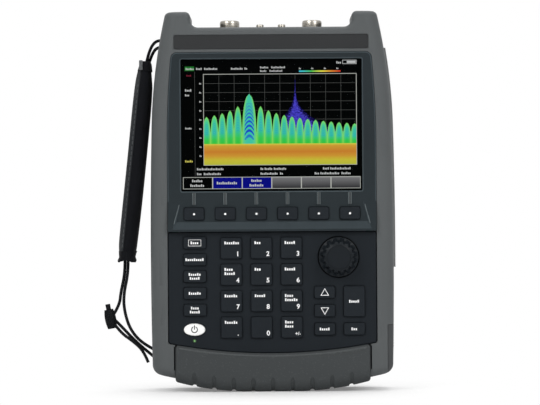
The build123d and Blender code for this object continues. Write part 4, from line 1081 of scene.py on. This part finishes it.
# Every white word has a left end, a foot, a number of letters and their height.
upper_row = ((-57.4, 6), (-50.2, 11), (-8.6, 2), (-5.4, 5), (1.6, 8), (39.4, 4), (45.0, 13))
lower_row = ((-57.4, 3), (-52.2, 11), (-8.6, 11), (6.4, 2), (33.0, 3), (37.4, 12), (53.6, 6))
white_words = [
    (50.2, 251.6, 3, 1.8), (-65.6, 247.4, 6, 1.5), (-57.6, 247.4, 4, 1.6), (-51.4, 247.4, 9, 1.6),
    (-30.8, 247.4, 8, 1.6), (-20.4, 247.4, 2, 1.6), (-8.4, 248.3, 6, 1.5), (0.2, 248.3, 10, 1.5),
    (-8.4, 245.6, 5, 1.4), (-1.2, 245.6, 10, 1.4), (-66.2, 230.8, 4, 1.8), (-66.2, 227.2, 3, 1.6),
    (-66.2, 201.8, 5, 1.4),
]
white_words += [(scale_left + i * 9.6, 247.4, 2, 1.2) for i in range(4)]
white_words += [(graph_left - 3.4, graph_low + i * row - 0.6, 2, 1.2) for i in range(1, 10)]
white_words += [(left, 170.3, letters, 1.7) for left, letters in upper_row]
white_words += [(left, 166.6, letters, 1.7) for left, letters in lower_row]
for left, low, letters, height in white_words:
    labels += word(left, low, letters, height, text_layer, screen_white)

# Six labels over the softkeys, the first three with words
label_fills = [screen_black, screen_navy, screen_navy, screen_label, screen_label, screen_label]
cell_width = (label_right - label_left) / len(label_fills)
for i, fill in enumerate(label_fills):
    left = label_left + i * cell_width
    labels.append(patch(left + 0.3, left + cell_width - 0.3, 156.2, 164.6, back_layer, fill))
    labels += outline(left, left + cell_width, 155.8, 165.0, 0.4, text_layer, screen_frame)
    if i in (0, 2):
        labels += word(left + 7.0, 161.2, 6, 1.9, top_layer, screen_white)
        labels += word(left + 5.6, 157.6, 8, 1.9, top_layer, screen_white)
    if i == 1:
        labels += word(left + 3.2, 159.4, 11, 2.0, top_layer, screen_white)
settle(join(labels), "screen_labels", "body")
print("screen labels", len(labels))

# %% [markdown]
# ## Legends on the keys
# The number keys carry plain figures. Text is made a mesh first and then put in its place, a
# hair in front of the key, and rides on its own key, so it goes down when the key is pressed.
# The keys with function words get the same small blocks as the screen, and the arrow keys get
# triangles drawn with a three-sided circle.


# %% Legend finish and helpers
def printed(name, colour):
    """Ink, slightly uneven and a little worn."""
    finish = Finish(name)
    wear = finish.noise(1500, 2.0)
    finish.surface(
        {
            "Base Color": finish.mix(wear, lighter(colour, 0.82), lighter(colour, 1.05)),
            "Roughness": 0.45 + wear * 0.15,
        }
    )
    return finish.material


ink_white = printed("ink_white", srgb(250, 250, 250))
ink_dark = printed("ink_dark", srgb(40, 42, 44))
ink_lift = 0.04 * MM
ink_pitch = 0.76


def front_of(node):
    """How far forward a key's face is, with the thickness of the ink."""
    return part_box(node)[0][1] - ink_lift


def ink_bar(node, left, right, low, high, finish):
    """Printed bar on a key's face; its sides are millimetres from the key's centre."""
    centre = middle(node)
    place = (centre.x + (left + right) / 2 * MM, front_of(node), centre.z + (low + high) / 2 * MM)
    deselect()
    bpy.ops.mesh.primitive_plane_add(size=1)
    return stand(bpy.context.object, place, right - left, high - low, finish)


def ink_word(node, left, low, letters, height, finish):
    """Row of small printed blocks that stands for a word."""
    bars = []
    pitch = height * ink_pitch
    for i in range(letters):
        top = height * (1.0 if i % 4 == 0 else 0.74)
        bars.append(ink_bar(node, left + i * pitch, left + (i + 0.68) * pitch, low, low + top, finish))
    return bars


def ink_text(node, text, right, low, size, finish):
    """Printed figure on a key, made a mesh before it is put in place."""
    centre = middle(node)
    deselect()
    bpy.ops.object.text_add()
    figure = bpy.context.object
    figure.data.body = text
    figure.data.size = size * MM
    figure.data.offset = 0.025 * size * MM
    figure.data.align_x = "CENTER"
    bpy.ops.object.convert(target="MESH")
    figure = bpy.context.object
    figure.rotation_euler = UPRIGHT
    figure.location = (centre.x + right * MM, front_of(node), centre.z + low * MM)
    apply_place(figure)
    paint(figure, finish)
    return figure


def flat_ring(sides, radius, hole):
    """Flat ring, or an outlined triangle with three sides. Radii in millimetres."""
    deselect()
    bpy.ops.mesh.primitive_circle_add(vertices=sides, radius=radius * MM, fill_type="NGON")
    ring = bpy.context.object
    edit_all(ring)
    bpy.ops.mesh.inset(thickness=(radius - hole) * MM)
    bpy.ops.mesh.delete(type="FACE")
    deselect()
    return ring


def ink_ring(node, sides, radius, hole, turn, up, finish):
    """Printed ring or outlined triangle on a key."""
    ring = flat_ring(sides, radius, hole)
    ring.rotation_euler = (math.pi / 2, turn, 0)
    ring.location = (middle(node).x, front_of(node), middle(node).z + up * MM)
    apply_place(ring)
    paint(ring, finish)
    return ring


print("inks", ink_white.name, ink_dark.name)

# %% Number keys
figures = {"key_point": ".", "key_0": "0", "key_sign": "+/-", **{f"key_{i}": str(i) for i in range(1, 10)}}
words_on_numbers = {
    "key_1": [7], "key_2": [3], "key_3": [5],
    "key_4": [4, 5], "key_5": [3], "key_6": [5],
    "key_7": [6], "key_8": [5], "key_9": [4, 6],
    "key_point": [6], "key_sign": [4, 4],
}
figure_low = -6.0
word_left, word_low, word_step, word_height = -5.2, 3.0, 3.2, 2.2
for node, text in figures.items():
    right, size = (5.0, 5.0) if len(text) == 1 else (4.6, 3.6)
    bits = [ink_text(node, text, right, figure_low, size, ink_white)]
    for i, letters in enumerate(words_on_numbers.get(node, [])):
        bits += ink_word(node, word_left, word_low - word_step * i, letters, word_height, ink_white)
    settle(join(bits), f"legend_{node}", node)
print("number keys", len(figures))

# %% Function keys, arrows and softkeys
words_on_keys = {
    "mode_key": [4], "frequency_key": [9], "scale_key": [6, 5], "marker_key": [6], "tools_key": [4, 5],
    "back_key": [5], "enter_key": [5], "escape_key": [3],
}
word_height, word_step = 2.1, 3.0
for node, lines in words_on_keys.items():
    bits = []
    for i, letters in enumerate(lines):
        width = letters * word_height * ink_pitch
        low = -1.0 if len(lines) == 1 else 0.6 - word_step * i
        bits += ink_word(node, -width / 2, low, letters, word_height, ink_white)
    if node == "mode_key":
        wide, high, line = 4.9, 2.5, 0.3
        bits.append(ink_bar(node, line - wide, wide - line, high - line, high, ink_white))
        bits.append(ink_bar(node, line - wide, wide - line, -high, line - high, ink_white))
        bits.append(ink_bar(node, -wide, line - wide, -high, high, ink_white))
        bits.append(ink_bar(node, wide - line, wide, -high, high, ink_white))
    settle(join(bits), f"legend_{node}", node)
settle(ink_ring("up_key", 3, 3.8, 3.3, 0, -0.6, ink_white), "legend_up_key", "up_key")
settle(ink_ring("down_key", 3, 3.8, 3.3, math.pi, 0.6, ink_white), "legend_down_key", "down_key")
for i in range(1, 7):
    node = f"softkey_{i}"
    settle(ink_ring(node, 16, 0.85, 0.02, 0, -0.2, ink_white), f"legend_{node}", node)
print("function keys", len(words_on_keys))

# %% Power sign: a broken ring and a bar
power_middle = middle("power_button")
power_ring = ink_ring("power_button", 40, 2.6, 1.85, 0, 0, ink_dark)


def in_break(place, normal):
    """Whether a face of the ring lies where the bar goes through it."""
    return place.z > power_middle.z + 1.2 * MM and abs(place.x - power_middle.x) < 1.1 * MM


edit_faces(power_ring, in_break)
bpy.ops.mesh.delete(type="FACE")
deselect()
power_bar = ink_bar("power_button", -0.4, 0.4, 0.1, 3.3, ink_dark)
settle(join([power_ring, power_bar]), "legend_power_button", "power_button")

# %% [markdown]
# ## The knob
# The knob's flank has sixteen finger flutes, which solids of this size leave out.
# It starts as a flat disc for the flange. Its top face is drawn in and pulled up ring by ring
# into a cone, and then every column of points is drawn towards the axis by its own amount. A
# thin black ring round its foot is painted shade: it stands for the shadow in the gap between knob and
# panel.


# %% Pulling faces up
def pull_up(height):
    """Pull the selected faces up, with new sides."""
    bpy.ops.mesh.extrude_region_move(TRANSFORM_OT_translate={"value": (0, 0, height)})


def pull_rings(width, widths, step):
    """Pull the selected round face, this wide, up step by step to the widths in the list."""
    for wanted in widths:
        pull_up(step)
        bpy.ops.transform.resize(value=(wanted / width, wanted / width, 1))
        width = wanted


def smooth(piece, degrees):
    """Shade a piece smooth, apart from edges sharper than this."""
    choose(piece)
    bpy.ops.object.shade_smooth_by_angle(angle=math.radians(degrees))


# %% Knob
knob_low, knob_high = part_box("knob")
knob_middle = middle("knob")
column_count, flute_columns, ring_count = 128, 8, 10
flange_radius, flank_radius, top_radius = 15.2 * MM, 14.2 * MM, 9.6 * MM
flange_height, flange_ease = 1.8 * MM, 0.5 * MM
cone_height = knob_high.y - knob_low.y - flange_height
deselect()
bpy.ops.mesh.primitive_cylinder_add(
    vertices=column_count, radius=flange_radius, depth=flange_height, location=(0, 0, flange_height / 2)
)
knob = bpy.context.object
apply_place(knob)
edit_faces(knob, lambda place, normal: normal.z > 0.9)
bpy.ops.mesh.bevel(offset=flange_ease, segments=2)
deselect()
edit_faces(knob, lambda place, normal: normal.z > 0.9)
bpy.ops.mesh.inset(thickness=flange_ease)
ring_step = (top_radius - flank_radius) / ring_count
ring_radii = [flank_radius + ring_step * (i + 1) for i in range(ring_count)]
pull_rings(flank_radius, ring_radii, cone_height / ring_count)
for width, sunk in ((0.9, 0.0), (1.6, 0.25), (3.0, 0.2)):
    bpy.ops.mesh.inset(thickness=width * MM, depth=-sunk * MM)
deselect()
print("knob rings", ring_count)

# %% Flutes and hollow of the knob
flute_depth, flute_sharpness = 1.4 * MM, 1.6
flank_floor = flange_height + 0.05 * MM
flank_top = flange_height + cone_height * 0.92
flank_inside = top_radius - 0.4 * MM
for phase in range(flute_columns):
    wave = 0.5 + 0.5 * math.cos(2 * math.pi * phase / flute_columns)
    draw_in = 1 - flute_depth * wave**flute_sharpness / flank_radius

    def in_column(place):
        column_number = round(math.atan2(place.y, place.x) / (2 * math.pi) * column_count)
        on_flank = flank_floor < place.z < flank_top and math.hypot(place.x, place.y) > flank_inside
        return on_flank and column_number % flute_columns == phase

    edit_points(knob, in_column)
    bpy.ops.transform.resize(value=(draw_in, draw_in, 1), center_override=(0, 0, 0))
deselect()

# The hollow has a wide step for the encoder's bushing and a narrow one for its shaft.
edit_faces(knob, lambda place, normal: normal.z < -0.9)
for wall, depth in ((10.3, 1.5), (1.88, 6.62)):
    bpy.ops.mesh.inset(thickness=wall * MM)
    pull_up(depth * MM)
bpy.ops.mesh.select_all(action="SELECT")
bpy.ops.mesh.normals_make_consistent(inside=False)
deselect()
knob.rotation_euler = UPRIGHT
knob.location = (knob_middle.x, knob_high.y, knob_middle.z)
paint(knob, knob_black)
settle(knob, "knob_ribbed", "knob")
smooth(knob, 24)
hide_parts("knob")

# Painted shade: a thin black ring round the knob's foot stands for the shadow in the gap to the panel.
gap_front = -28.7 * MM
gap_shade_ring = flat_ring(96, 16.0, 14.8)
gap_shade_ring.rotation_euler = UPRIGHT
gap_shade_ring.location = (knob_middle.x, gap_front, knob_middle.z)
paint(gap_shade_ring, shade_black)
settle(gap_shade_ring, "knob_gap_shade_ring", "body")
print("knob faces", len(knob.data.polygons))

# %% [markdown]
# ## Threaded ports
# Each test port is a six-sided collar and a threaded barrel with a bore. The thread is one small
# triangle carried round the axis by a Screw modifier, rising by one pitch a turn. The insulator
# is a disc deep in the bore, and the contact stands on it and has a hole for the plug's pin.


# %% Port builder
def drum(radius, low, high, sides, finish, ease=0.06):
    """Upright cylinder whose rims are eased by a share of its size."""
    deselect()
    bpy.ops.mesh.primitive_cylinder_add(
        vertices=sides, radius=radius, depth=high - low, location=(0, 0, (low + high) / 2)
    )
    piece = bpy.context.object
    apply_place(piece)
    easing = piece.modifiers.new("easing", "BEVEL")
    easing.width = min(radius, high - low) * ease
    easing.segments = 2
    easing.limit_method = "ANGLE"
    easing.angle_limit = math.radians(50)
    apply_modifiers(piece)
    paint(piece, finish)
    return piece


def sink(piece, radius, hole, depth):
    """Sink a round hole into the top face of a drum of this radius."""
    top = max(point.co.z for point in piece.data.vertices)
    edit_faces(piece, lambda place, normal: normal.z > 0.9 and place.z > top - 0.01 * MM)
    bpy.ops.mesh.inset(thickness=radius - hole)
    pull_up(-depth)
    deselect()


def thread(radius, low, high, pitch, finish):
    """Screw thread whose crest has this radius."""
    ridge_size = pitch * 0.42
    deselect()
    bpy.ops.mesh.primitive_circle_add(
        vertices=3,
        radius=ridge_size,
        location=(radius - ridge_size, 0, low + pitch / 2),
        rotation=(math.pi / 2, math.pi / 2, 0),
    )
    ridge = bpy.context.object
    apply_place(ridge)
    winding = ridge.modifiers.new("winding", "SCREW")
    winding.axis = "Z"
    winding.screw_offset = pitch
    winding.iterations = int((high - low) / pitch) - 1
    winding.steps = 40
    winding.render_steps = 40
    apply_modifiers(ridge)
    edit_all(ridge)
    bpy.ops.mesh.remove_doubles(threshold=0.001 * MM)
    bpy.ops.mesh.fill_holes(sides=4)
    bpy.ops.mesh.normals_make_consistent(inside=False)
    deselect()
    paint(ridge, finish)
    return ridge


def port(radius, height, pitch, collar, collar_height, stem, bore, bore_depth, pin, pin_drop):
    """Port standing on Z, with its collar's foot at the origin. Sizes in millimetres."""
    barrel, rim_ease = (radius - 0.3 * pitch) * MM, 0.2
    bore_floor = (height - bore_depth) * MM
    shell = drum(barrel, collar_height * MM, height * MM, 64, port_steel, rim_ease)
    sink(shell, barrel * (1 - rim_ease), bore * MM, bore_depth * MM)
    nut = drum(collar * MM, 0, collar_height * MM, 6, port_steel)
    nut.rotation_euler.z = math.radians(30)
    apply_place(nut)
    thread_low, thread_high = (collar_height + 0.5) * MM, (height - 0.16 * radius) * MM
    ridge = thread(radius * MM, thread_low, thread_high, pitch * MM, port_steel)
    shank = drum(stem * MM, -12 * MM, 0.2 * MM, 32, port_steel)
    insulator_top = (height - bore_depth * 0.82) * MM
    insulator = drum(bore * 0.97 * MM, bore_floor, insulator_top, 40, insulator_cream)
    contact = drum(pin * MM, bore_floor, (height - pin_drop) * MM, 28, pin_gilt)
    sink(contact, pin * MM * 0.94, pin * 0.55 * MM, (bore_depth - pin_drop) * 0.6 * MM)
    piece = join([shell, nut, ridge, shank, insulator, contact])
    smooth(piece, 32)
    return piece


# %% Ports
large_height, small_height = 14.6, 11.6
large_port = port(
    radius=7.9, height=large_height, pitch=1.06, collar=10.4, collar_height=4.0,
    stem=5.5, bore=4.1, bore_depth=8.0, pin=1.5, pin_drop=1.4,
)
small_port = port(
    radius=3.1, height=small_height, pitch=0.7, collar=4.6, collar_height=3.6,
    stem=2.6, bore=1.9, bore_depth=4.0, pin=0.62, pin_drop=0.5,
)
for node, model, height in (
    ("port_1_connector", large_port, large_height),
    ("port_2_connector", large_port, large_height),
    ("gps_connector", small_port, small_height),
    ("reference_connector", small_port, small_height),
):
    piece = copy(model)
    piece.location = (middle(node).x, middle(node).y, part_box(node)[1].z - height * MM)
    settle(piece, node.replace("connector", "threaded"), "body")
    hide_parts(node)
for model in (large_port, small_port):
    bpy.data.objects.remove(model)
print("ports in place")

# %% [markdown]
# ## Housing screws
# The six screws in the back have a six-lobed socket. The head is a drum; its top face is drawn
# in, and every sixth column of that inner ring is pulled further in before it is sunk.

# %% Screws
screw_places = [(-71, 272), (71, 272), (-76, 140), (76, 140), (-76, 60), (76, 60)]
head_radius, head_height = 3.0 * MM, 2.4 * MM
shank_radius, shank_length = 1.5 * MM, 23.6 * MM
socket_wall, socket_reach, socket_depth = 1.15 * MM, 1.9 * MM, 1.3 * MM
just_under_top = head_height - 0.01 * MM
head = drum(head_radius, 0, head_height, 36, plain_steel)
edit_faces(head, lambda place, normal: normal.z > 0.9 and place.z > just_under_top)
bpy.ops.mesh.inset(thickness=socket_wall)
deselect()
for phase in (-1, 0, 1):

    def in_lobe(place):
        column_number = round(math.degrees(math.atan2(place.y, place.x)) / 10)
        on_ring = place.z > just_under_top and math.hypot(place.x, place.y) < socket_reach
        return on_ring and (column_number - phase) % 6 == 0

    edit_points(head, in_lobe)
    pull = 0.72 if phase == 0 else 0.84
    bpy.ops.transform.resize(value=(pull, pull, 1), center_override=(0, 0, head_height))
deselect()


def in_socket(place, normal):
    """Whether a face is the lobed one in the middle of the head's top."""
    return normal.z > 0.9 and just_under_top < place.z and place.length < head_height + 0.01 * MM


edit_faces(head, in_socket)
pull_up(-socket_depth)
deselect()
screw = join([head, drum(shank_radius, -shank_length, 0.1 * MM, 24, plain_steel)])
smooth(screw, 32)
screws = []
for x, z in screw_places:
    one = copy(screw)
    one.rotation_euler = (-math.pi / 2, 0, 0)
    one.location = (x * MM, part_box("housing_screws")[1].y - head_height, z * MM)
    apply_place(one)
    screws.append(one)
bpy.data.objects.remove(screw)
all_screws = settle(join(screws), "screws_lobed", "body")
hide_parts("housing_screws")
print("screws", len(screw_places))

# %% [markdown]
# ## Cord lock
# The lock is a small barrel with a waffle grip. A disc is pulled up ring by ring, each ring as
# wide as the barrel is there. Then every face of the flank is drawn in and sunk on its own.

# %% Cord lock
lock_length, lock_rings = 15 * MM, 8
lock_radius, lock_end_radius = 4.4 * MM, 3.4 * MM
plunger_hole, plunger_depth = 2.1 * MM, 6 * MM
waffle_wall, waffle_depth = 0.16 * MM, 0.28 * MM
lock_place, lock_tilt = Vector((-126, 0, 55.5)) * MM, math.radians(-11)


def lock_width(share):
    """Radius of the barrel at this share of its length."""
    return lock_end_radius + (lock_radius - lock_end_radius) * (1 - (2 * share - 1) ** 2)


deselect()
bpy.ops.mesh.primitive_circle_add(
    vertices=20, radius=lock_end_radius, fill_type="NGON", location=(0, 0, -lock_length / 2)
)
lock = bpy.context.object
apply_place(lock)
edit_faces(lock, lambda place, normal: True)
lock_widths = [lock_width((i + 1) / lock_rings) for i in range(lock_rings)]
pull_rings(lock_end_radius, lock_widths, lock_length / lock_rings)
bpy.ops.mesh.inset(thickness=lock_end_radius - plunger_hole)
pull_up(-plunger_depth)
bpy.ops.mesh.select_all(action="SELECT")
bpy.ops.mesh.normals_make_consistent(inside=False)
deselect()
edit_faces(lock, lambda place, normal: abs(normal.z) < 0.5 and math.hypot(place.x, place.y) > 3.2 * MM)
bpy.ops.mesh.inset(thickness=waffle_wall, depth=-waffle_depth, use_individual=True)
deselect()
lock.rotation_euler = (0, lock_tilt, 0)
lock.location = lock_place
paint(lock, lock_black)
settle(lock, "cord_lock_waffle", "body")
smooth(lock, 30)
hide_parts("cord_lock")
print("cord lock faces", len(lock.data.polygons))

# %% [markdown]
# ## The padded strap
# The sleeve is foam in nylon cloth. It starts as the CAD solid made a little smaller, with an
# even net of points. Cloth with air pressure inside then swells it, so that it gets the soft
# swellings and dents of a stuffed sleeve. How far a point may move is limited, so it stays in
# its place. The flap that closes the sleeve, its hems and the stitches are added after that.

# %% Sleeve
pad = copy(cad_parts["strap_pad"])
pad.name = "strap_sleeve"
room_to_swell = 1.6 * MM
edit_all(pad)
bpy.ops.mesh.remove_doubles(threshold=0.01 * MM)
bpy.ops.transform.shrink_fatten(value=-room_to_swell)
deselect()
pad_low, pad_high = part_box("strap_pad")
end_reach = 4 * MM
for end, back in ((pad_high.z, end_reach), (pad_low.z, -end_reach)):
    edit_points(pad, lambda place: abs(place.z - end) < end_reach)
    bpy.ops.transform.translate(value=(0, 0, back))
deselect()
net = pad.modifiers.new("net", "REMESH")
net.mode = "VOXEL"
net.voxel_size = 2.5 * MM
apply_modifiers(pad)
rest_places = [point.co.copy() for point in pad.data.vertices]
cloth = pad.modifiers.new("cloth", "CLOTH")
cloth.settings.quality = 6
cloth.settings.mass = 0.2
cloth.settings.tension_stiffness = 12
cloth.settings.compression_stiffness = 12
cloth.settings.bending_stiffness = 0.4
cloth.settings.use_pressure = True
cloth.settings.uniform_pressure_force = 4
cloth.settings.effector_weights.gravity = 0
cloth.collision_settings.use_collision = False
for number in range(1, 21):
    bpy.context.scene.frame_set(number)
apply_modifiers(pad)
bpy.context.scene.frame_set(1)
farthest = 2.0 * MM
for point, rest in zip(pad.data.vertices, rest_places):
    move = point.co - rest
    if move.length > farthest:
        point.co = rest + move * (farthest / move.length)
rounding = pad.modifiers.new("rounding", "SUBSURF")
rounding.levels = rounding.render_levels = 1
apply_modifiers(pad)

sleeve_top, sleeve_foot = pad_high.z + 1.5 * MM, pad_low.z + 0.3 * MM
cut(pad, (0, 0, sleeve_top), (0, 0, 1), True)
cut(pad, (0, 0, sleeve_foot), (0, 0, -1), True)
paint(pad, strap_nylon)
settle(pad, "strap_sleeve", "body")
smooth(pad, 50)
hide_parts("strap_pad")
print("sleeve points", len(pad.data.vertices))

# %% [markdown]
# ## The strap's cover, hems and stitches
# The outer side of the sleeve is a second, paler layer that ends in a line along the front.
# It is the sleeve itself, copied, cut along that line and made thick. The hems at both ends are
# made the same way, from short lengths. One stitch is modelled and copied along the line.

# %% Cover and hems
axis_top, axis_foot = Vector((-97.2, 0, 253)) * MM, Vector((-113.2, 0, 101)) * MM
axis = (axis_top - axis_foot).normalized()
to_right = Vector((axis.z, 0, -axis.x))
cover_line = -2.5 * MM


def layer(name, cuts, thickness, finish):
    """A second layer of cloth over the part of the sleeve that the cuts leave."""
    piece = copy(pad)
    for place, normal in cuts:
        cut(piece, place, normal, False)
    edit_faces(piece, lambda place, normal: abs(normal.z) > 0.95)
    bpy.ops.mesh.delete(type="FACE")
    deselect()
    cloth_layer = piece.modifiers.new("cloth_layer", "SOLIDIFY")
    cloth_layer.thickness = thickness
    cloth_layer.offset = 1
    cloth_layer.use_even_offset = True
    apply_modifiers(piece)
    paint(piece, finish)
    settle(piece, name, "body")
    smooth(piece, 50)
    return piece


hem_width = 7 * MM
cover = layer("strap_cover", [(axis_top + to_right * cover_line, to_right)], 0.6 * MM, strap_binding)
layer("strap_hem_high", [((0, 0, sleeve_top - hem_width), (0, 0, -1))], 0.8 * MM, strap_nylon)
hem_low = layer("strap_hem_low", [((0, 0, sleeve_foot + hem_width), (0, 0, 1))], 0.8 * MM, strap_nylon)

# The lower hem flares a little where the cords leave it.
rim_top, rim_half = sleeve_foot + 1.2 * MM, 3.0 * MM
flare_out, flare_down = 1.2 * MM, 1.4 * MM
for side in (-1, 1):
    edit_points(hem_low, lambda place: place.z < rim_top and (place.x - axis_foot.x) * side > rim_half)
    bpy.ops.transform.translate(value=(side * flare_out, 0, -flare_down))
deselect()
print("cover points", len(cover.data.vertices))

# %% Stitches along the cover's edge
stitch_length, stitch_pitch, stitch_radius = 2.6 * MM, 4.0 * MM, 0.2 * MM
stitch_line = cover_line - 1.2 * MM
bpy.ops.mesh.primitive_cylinder_add(vertices=8, radius=stitch_radius, depth=stitch_length)
stitch = bpy.context.object
edit_faces(stitch, lambda place, normal: abs(normal.z) > 0.9)
bpy.ops.mesh.inset(thickness=stitch_radius * 0.5)
bpy.ops.transform.resize(value=(1, 1, 1.1))
deselect()
stitch.rotation_euler = (0, math.atan2(axis.x, axis.z), 0)
paint(stitch, thread_grey)
apply_place(stitch)


def meet(piece, start, direction):
    """Where a line of sight meets a piece, or nothing."""
    found, spot = piece.ray_cast(start, Vector(direction))[:2]
    return spot if found else None


stitches = []
for i in range(1, int((sleeve_top - sleeve_foot - 2 * hem_width) / axis.z / stitch_pitch)):
    along = axis_foot + axis * (hem_width + i * stitch_pitch) + to_right * stitch_line
    spot = meet(cover, along + Vector((0, -0.1, 0)), (0, 1, 0))
    if spot is not None:
        one = copy(stitch)
        one.location = spot
        apply_place(one)
        stitches.append(one)
bpy.data.objects.remove(stitch)
settle(join(stitches), "strap_stitches", "body")
print("stitches", len(stitches))

# %% Tab at the top of the sleeve
tab_place = axis_top + Vector((-3.2, -16.6, -1.2)) * MM
tab_size = Vector((2.8, 3.0, 7.6)) * MM
bpy.ops.mesh.primitive_cube_add(size=1, location=tab_place, scale=tab_size)
tab = bpy.context.object
apply_place(tab)
fold = tab.modifiers.new("fold", "BEVEL")
fold.width = 0.6 * MM
fold.segments = 4
apply_modifiers(tab)
paint(tab, thread_grey)
settle(tab, "strap_tab", "body")
smooth(tab, 40)
print("strap dressed")

# %% [markdown]
# ## Rounded edges with painted highlights and gaps with painted shade
# Three sets of edges show as pale lines in the photograph: the sides of the six ribs over the
# softkeys, the slanting sides of the ramp, and the upper lip of the bumper. Each is a thin bead
# along a line, painted paler than its part as a painted highlight, and so are the round crowns
# of the ribs. The dark gaps beside the bumper are thin black beads of painted shade. The
# lines are found on the solids by looking from the front, or down from above.


# %% Beads
def bead(line, radius, finish):
    """Thin round bead along a line of points, as a mesh."""
    piece = curve_along("bead", "POLY", line)
    piece.data.bevel_depth = radius
    piece.data.bevel_resolution = 3
    choose(piece)
    bpy.ops.object.convert(target="MESH")
    piece = bpy.context.object
    paint(piece, finish)
    bpy.ops.object.shade_smooth()
    return piece


def on_front(node, x, z):
    """Where a line of sight from the front meets a node."""
    return meet(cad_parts[node], Vector((x, -0.2, z)), (0, 1, 0))


rib_low, rib_high = 143.8 * MM, 152.8 * MM
rib_steps = [rib_low + (rib_high - rib_low) * i / 8 for i in range(9)]
rib_side, line_radius = 1.1 * MM, 0.2 * MM
crown_radius, crown_sunk = 1.0 * MM, Vector((0, 0.8 * MM, 0))
beads = []
# Each rib gets painted-highlight beads along both sides, and a paler painted-highlight bead on its crown.
for i in range(1, 7):
    x = middle(f"softkey_{i}").x
    for side in (-1, 1):
        line = [on_front("display_bezel", x + side * rib_side, z) for z in rib_steps]
        beads.append(bead(line, line_radius, bezel_painted_highlight))
    crown = [on_front("display_bezel", x, z) + crown_sunk for z in rib_steps]
    beads.append(bead(crown, crown_radius, bezel_rib_painted_highlight))

# The ramp's sides slant outwards as they go down, and get painted-highlight beads.
ramp_x, ramp_high = 71.2 * MM, 143.6 * MM
ramp_out, ramp_drop, ramp_radius = 4.0 * MM, 14.6 * MM, 0.25 * MM
for side in (-1, 1):
    line = []
    for i in range(9):
        share = i / 8
        x, z = side * (ramp_x + ramp_out * share), ramp_high - ramp_drop * share
        line.append(on_front("display_bezel", x, z))
    beads.append(bead(line, ramp_radius, bezel_painted_highlight))
bead_count = len(beads)
settle(join(beads), "bezel_edge_highlights", "body")
print("beads", bead_count)

# %% Lip highlight and gap shade of the bumper
# The lip bead is painted paler than the bumper, a painted highlight on its rounded edge.
lip_reach, lip_front, lip_radius = 72 * MM, -31.0 * MM, 0.9 * MM
lip_shift = Vector((0, -0.1, -1.1)) * MM
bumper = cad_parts["bottom_bumper"]
lip_line = []
for i in range(41):
    above = Vector((lip_reach * (i / 20 - 1), lip_front, 0.1))
    lip_line.append(meet(bumper, above, (0, 0, -1)) + lip_shift)
settle(bead(lip_line, lip_radius, bumper_painted_highlight), "bumper_lip_highlight", "body")
# Painted shade: thin black beads down both sides of the bumper stand for the shadow in the gaps there.
gap_x, gap_radius = 75.5 * MM, 0.4 * MM
gap_shades = []
for side in (-1, 1):
    line = [on_front("front_housing", side * gap_x, z * MM) for z in range(17, 36, 2)]
    gap_shades.append(bead(line, gap_radius, shade_black))
settle(join(gap_shades), "bumper_gap_shades", "body")
print("lip points", len(lip_line))
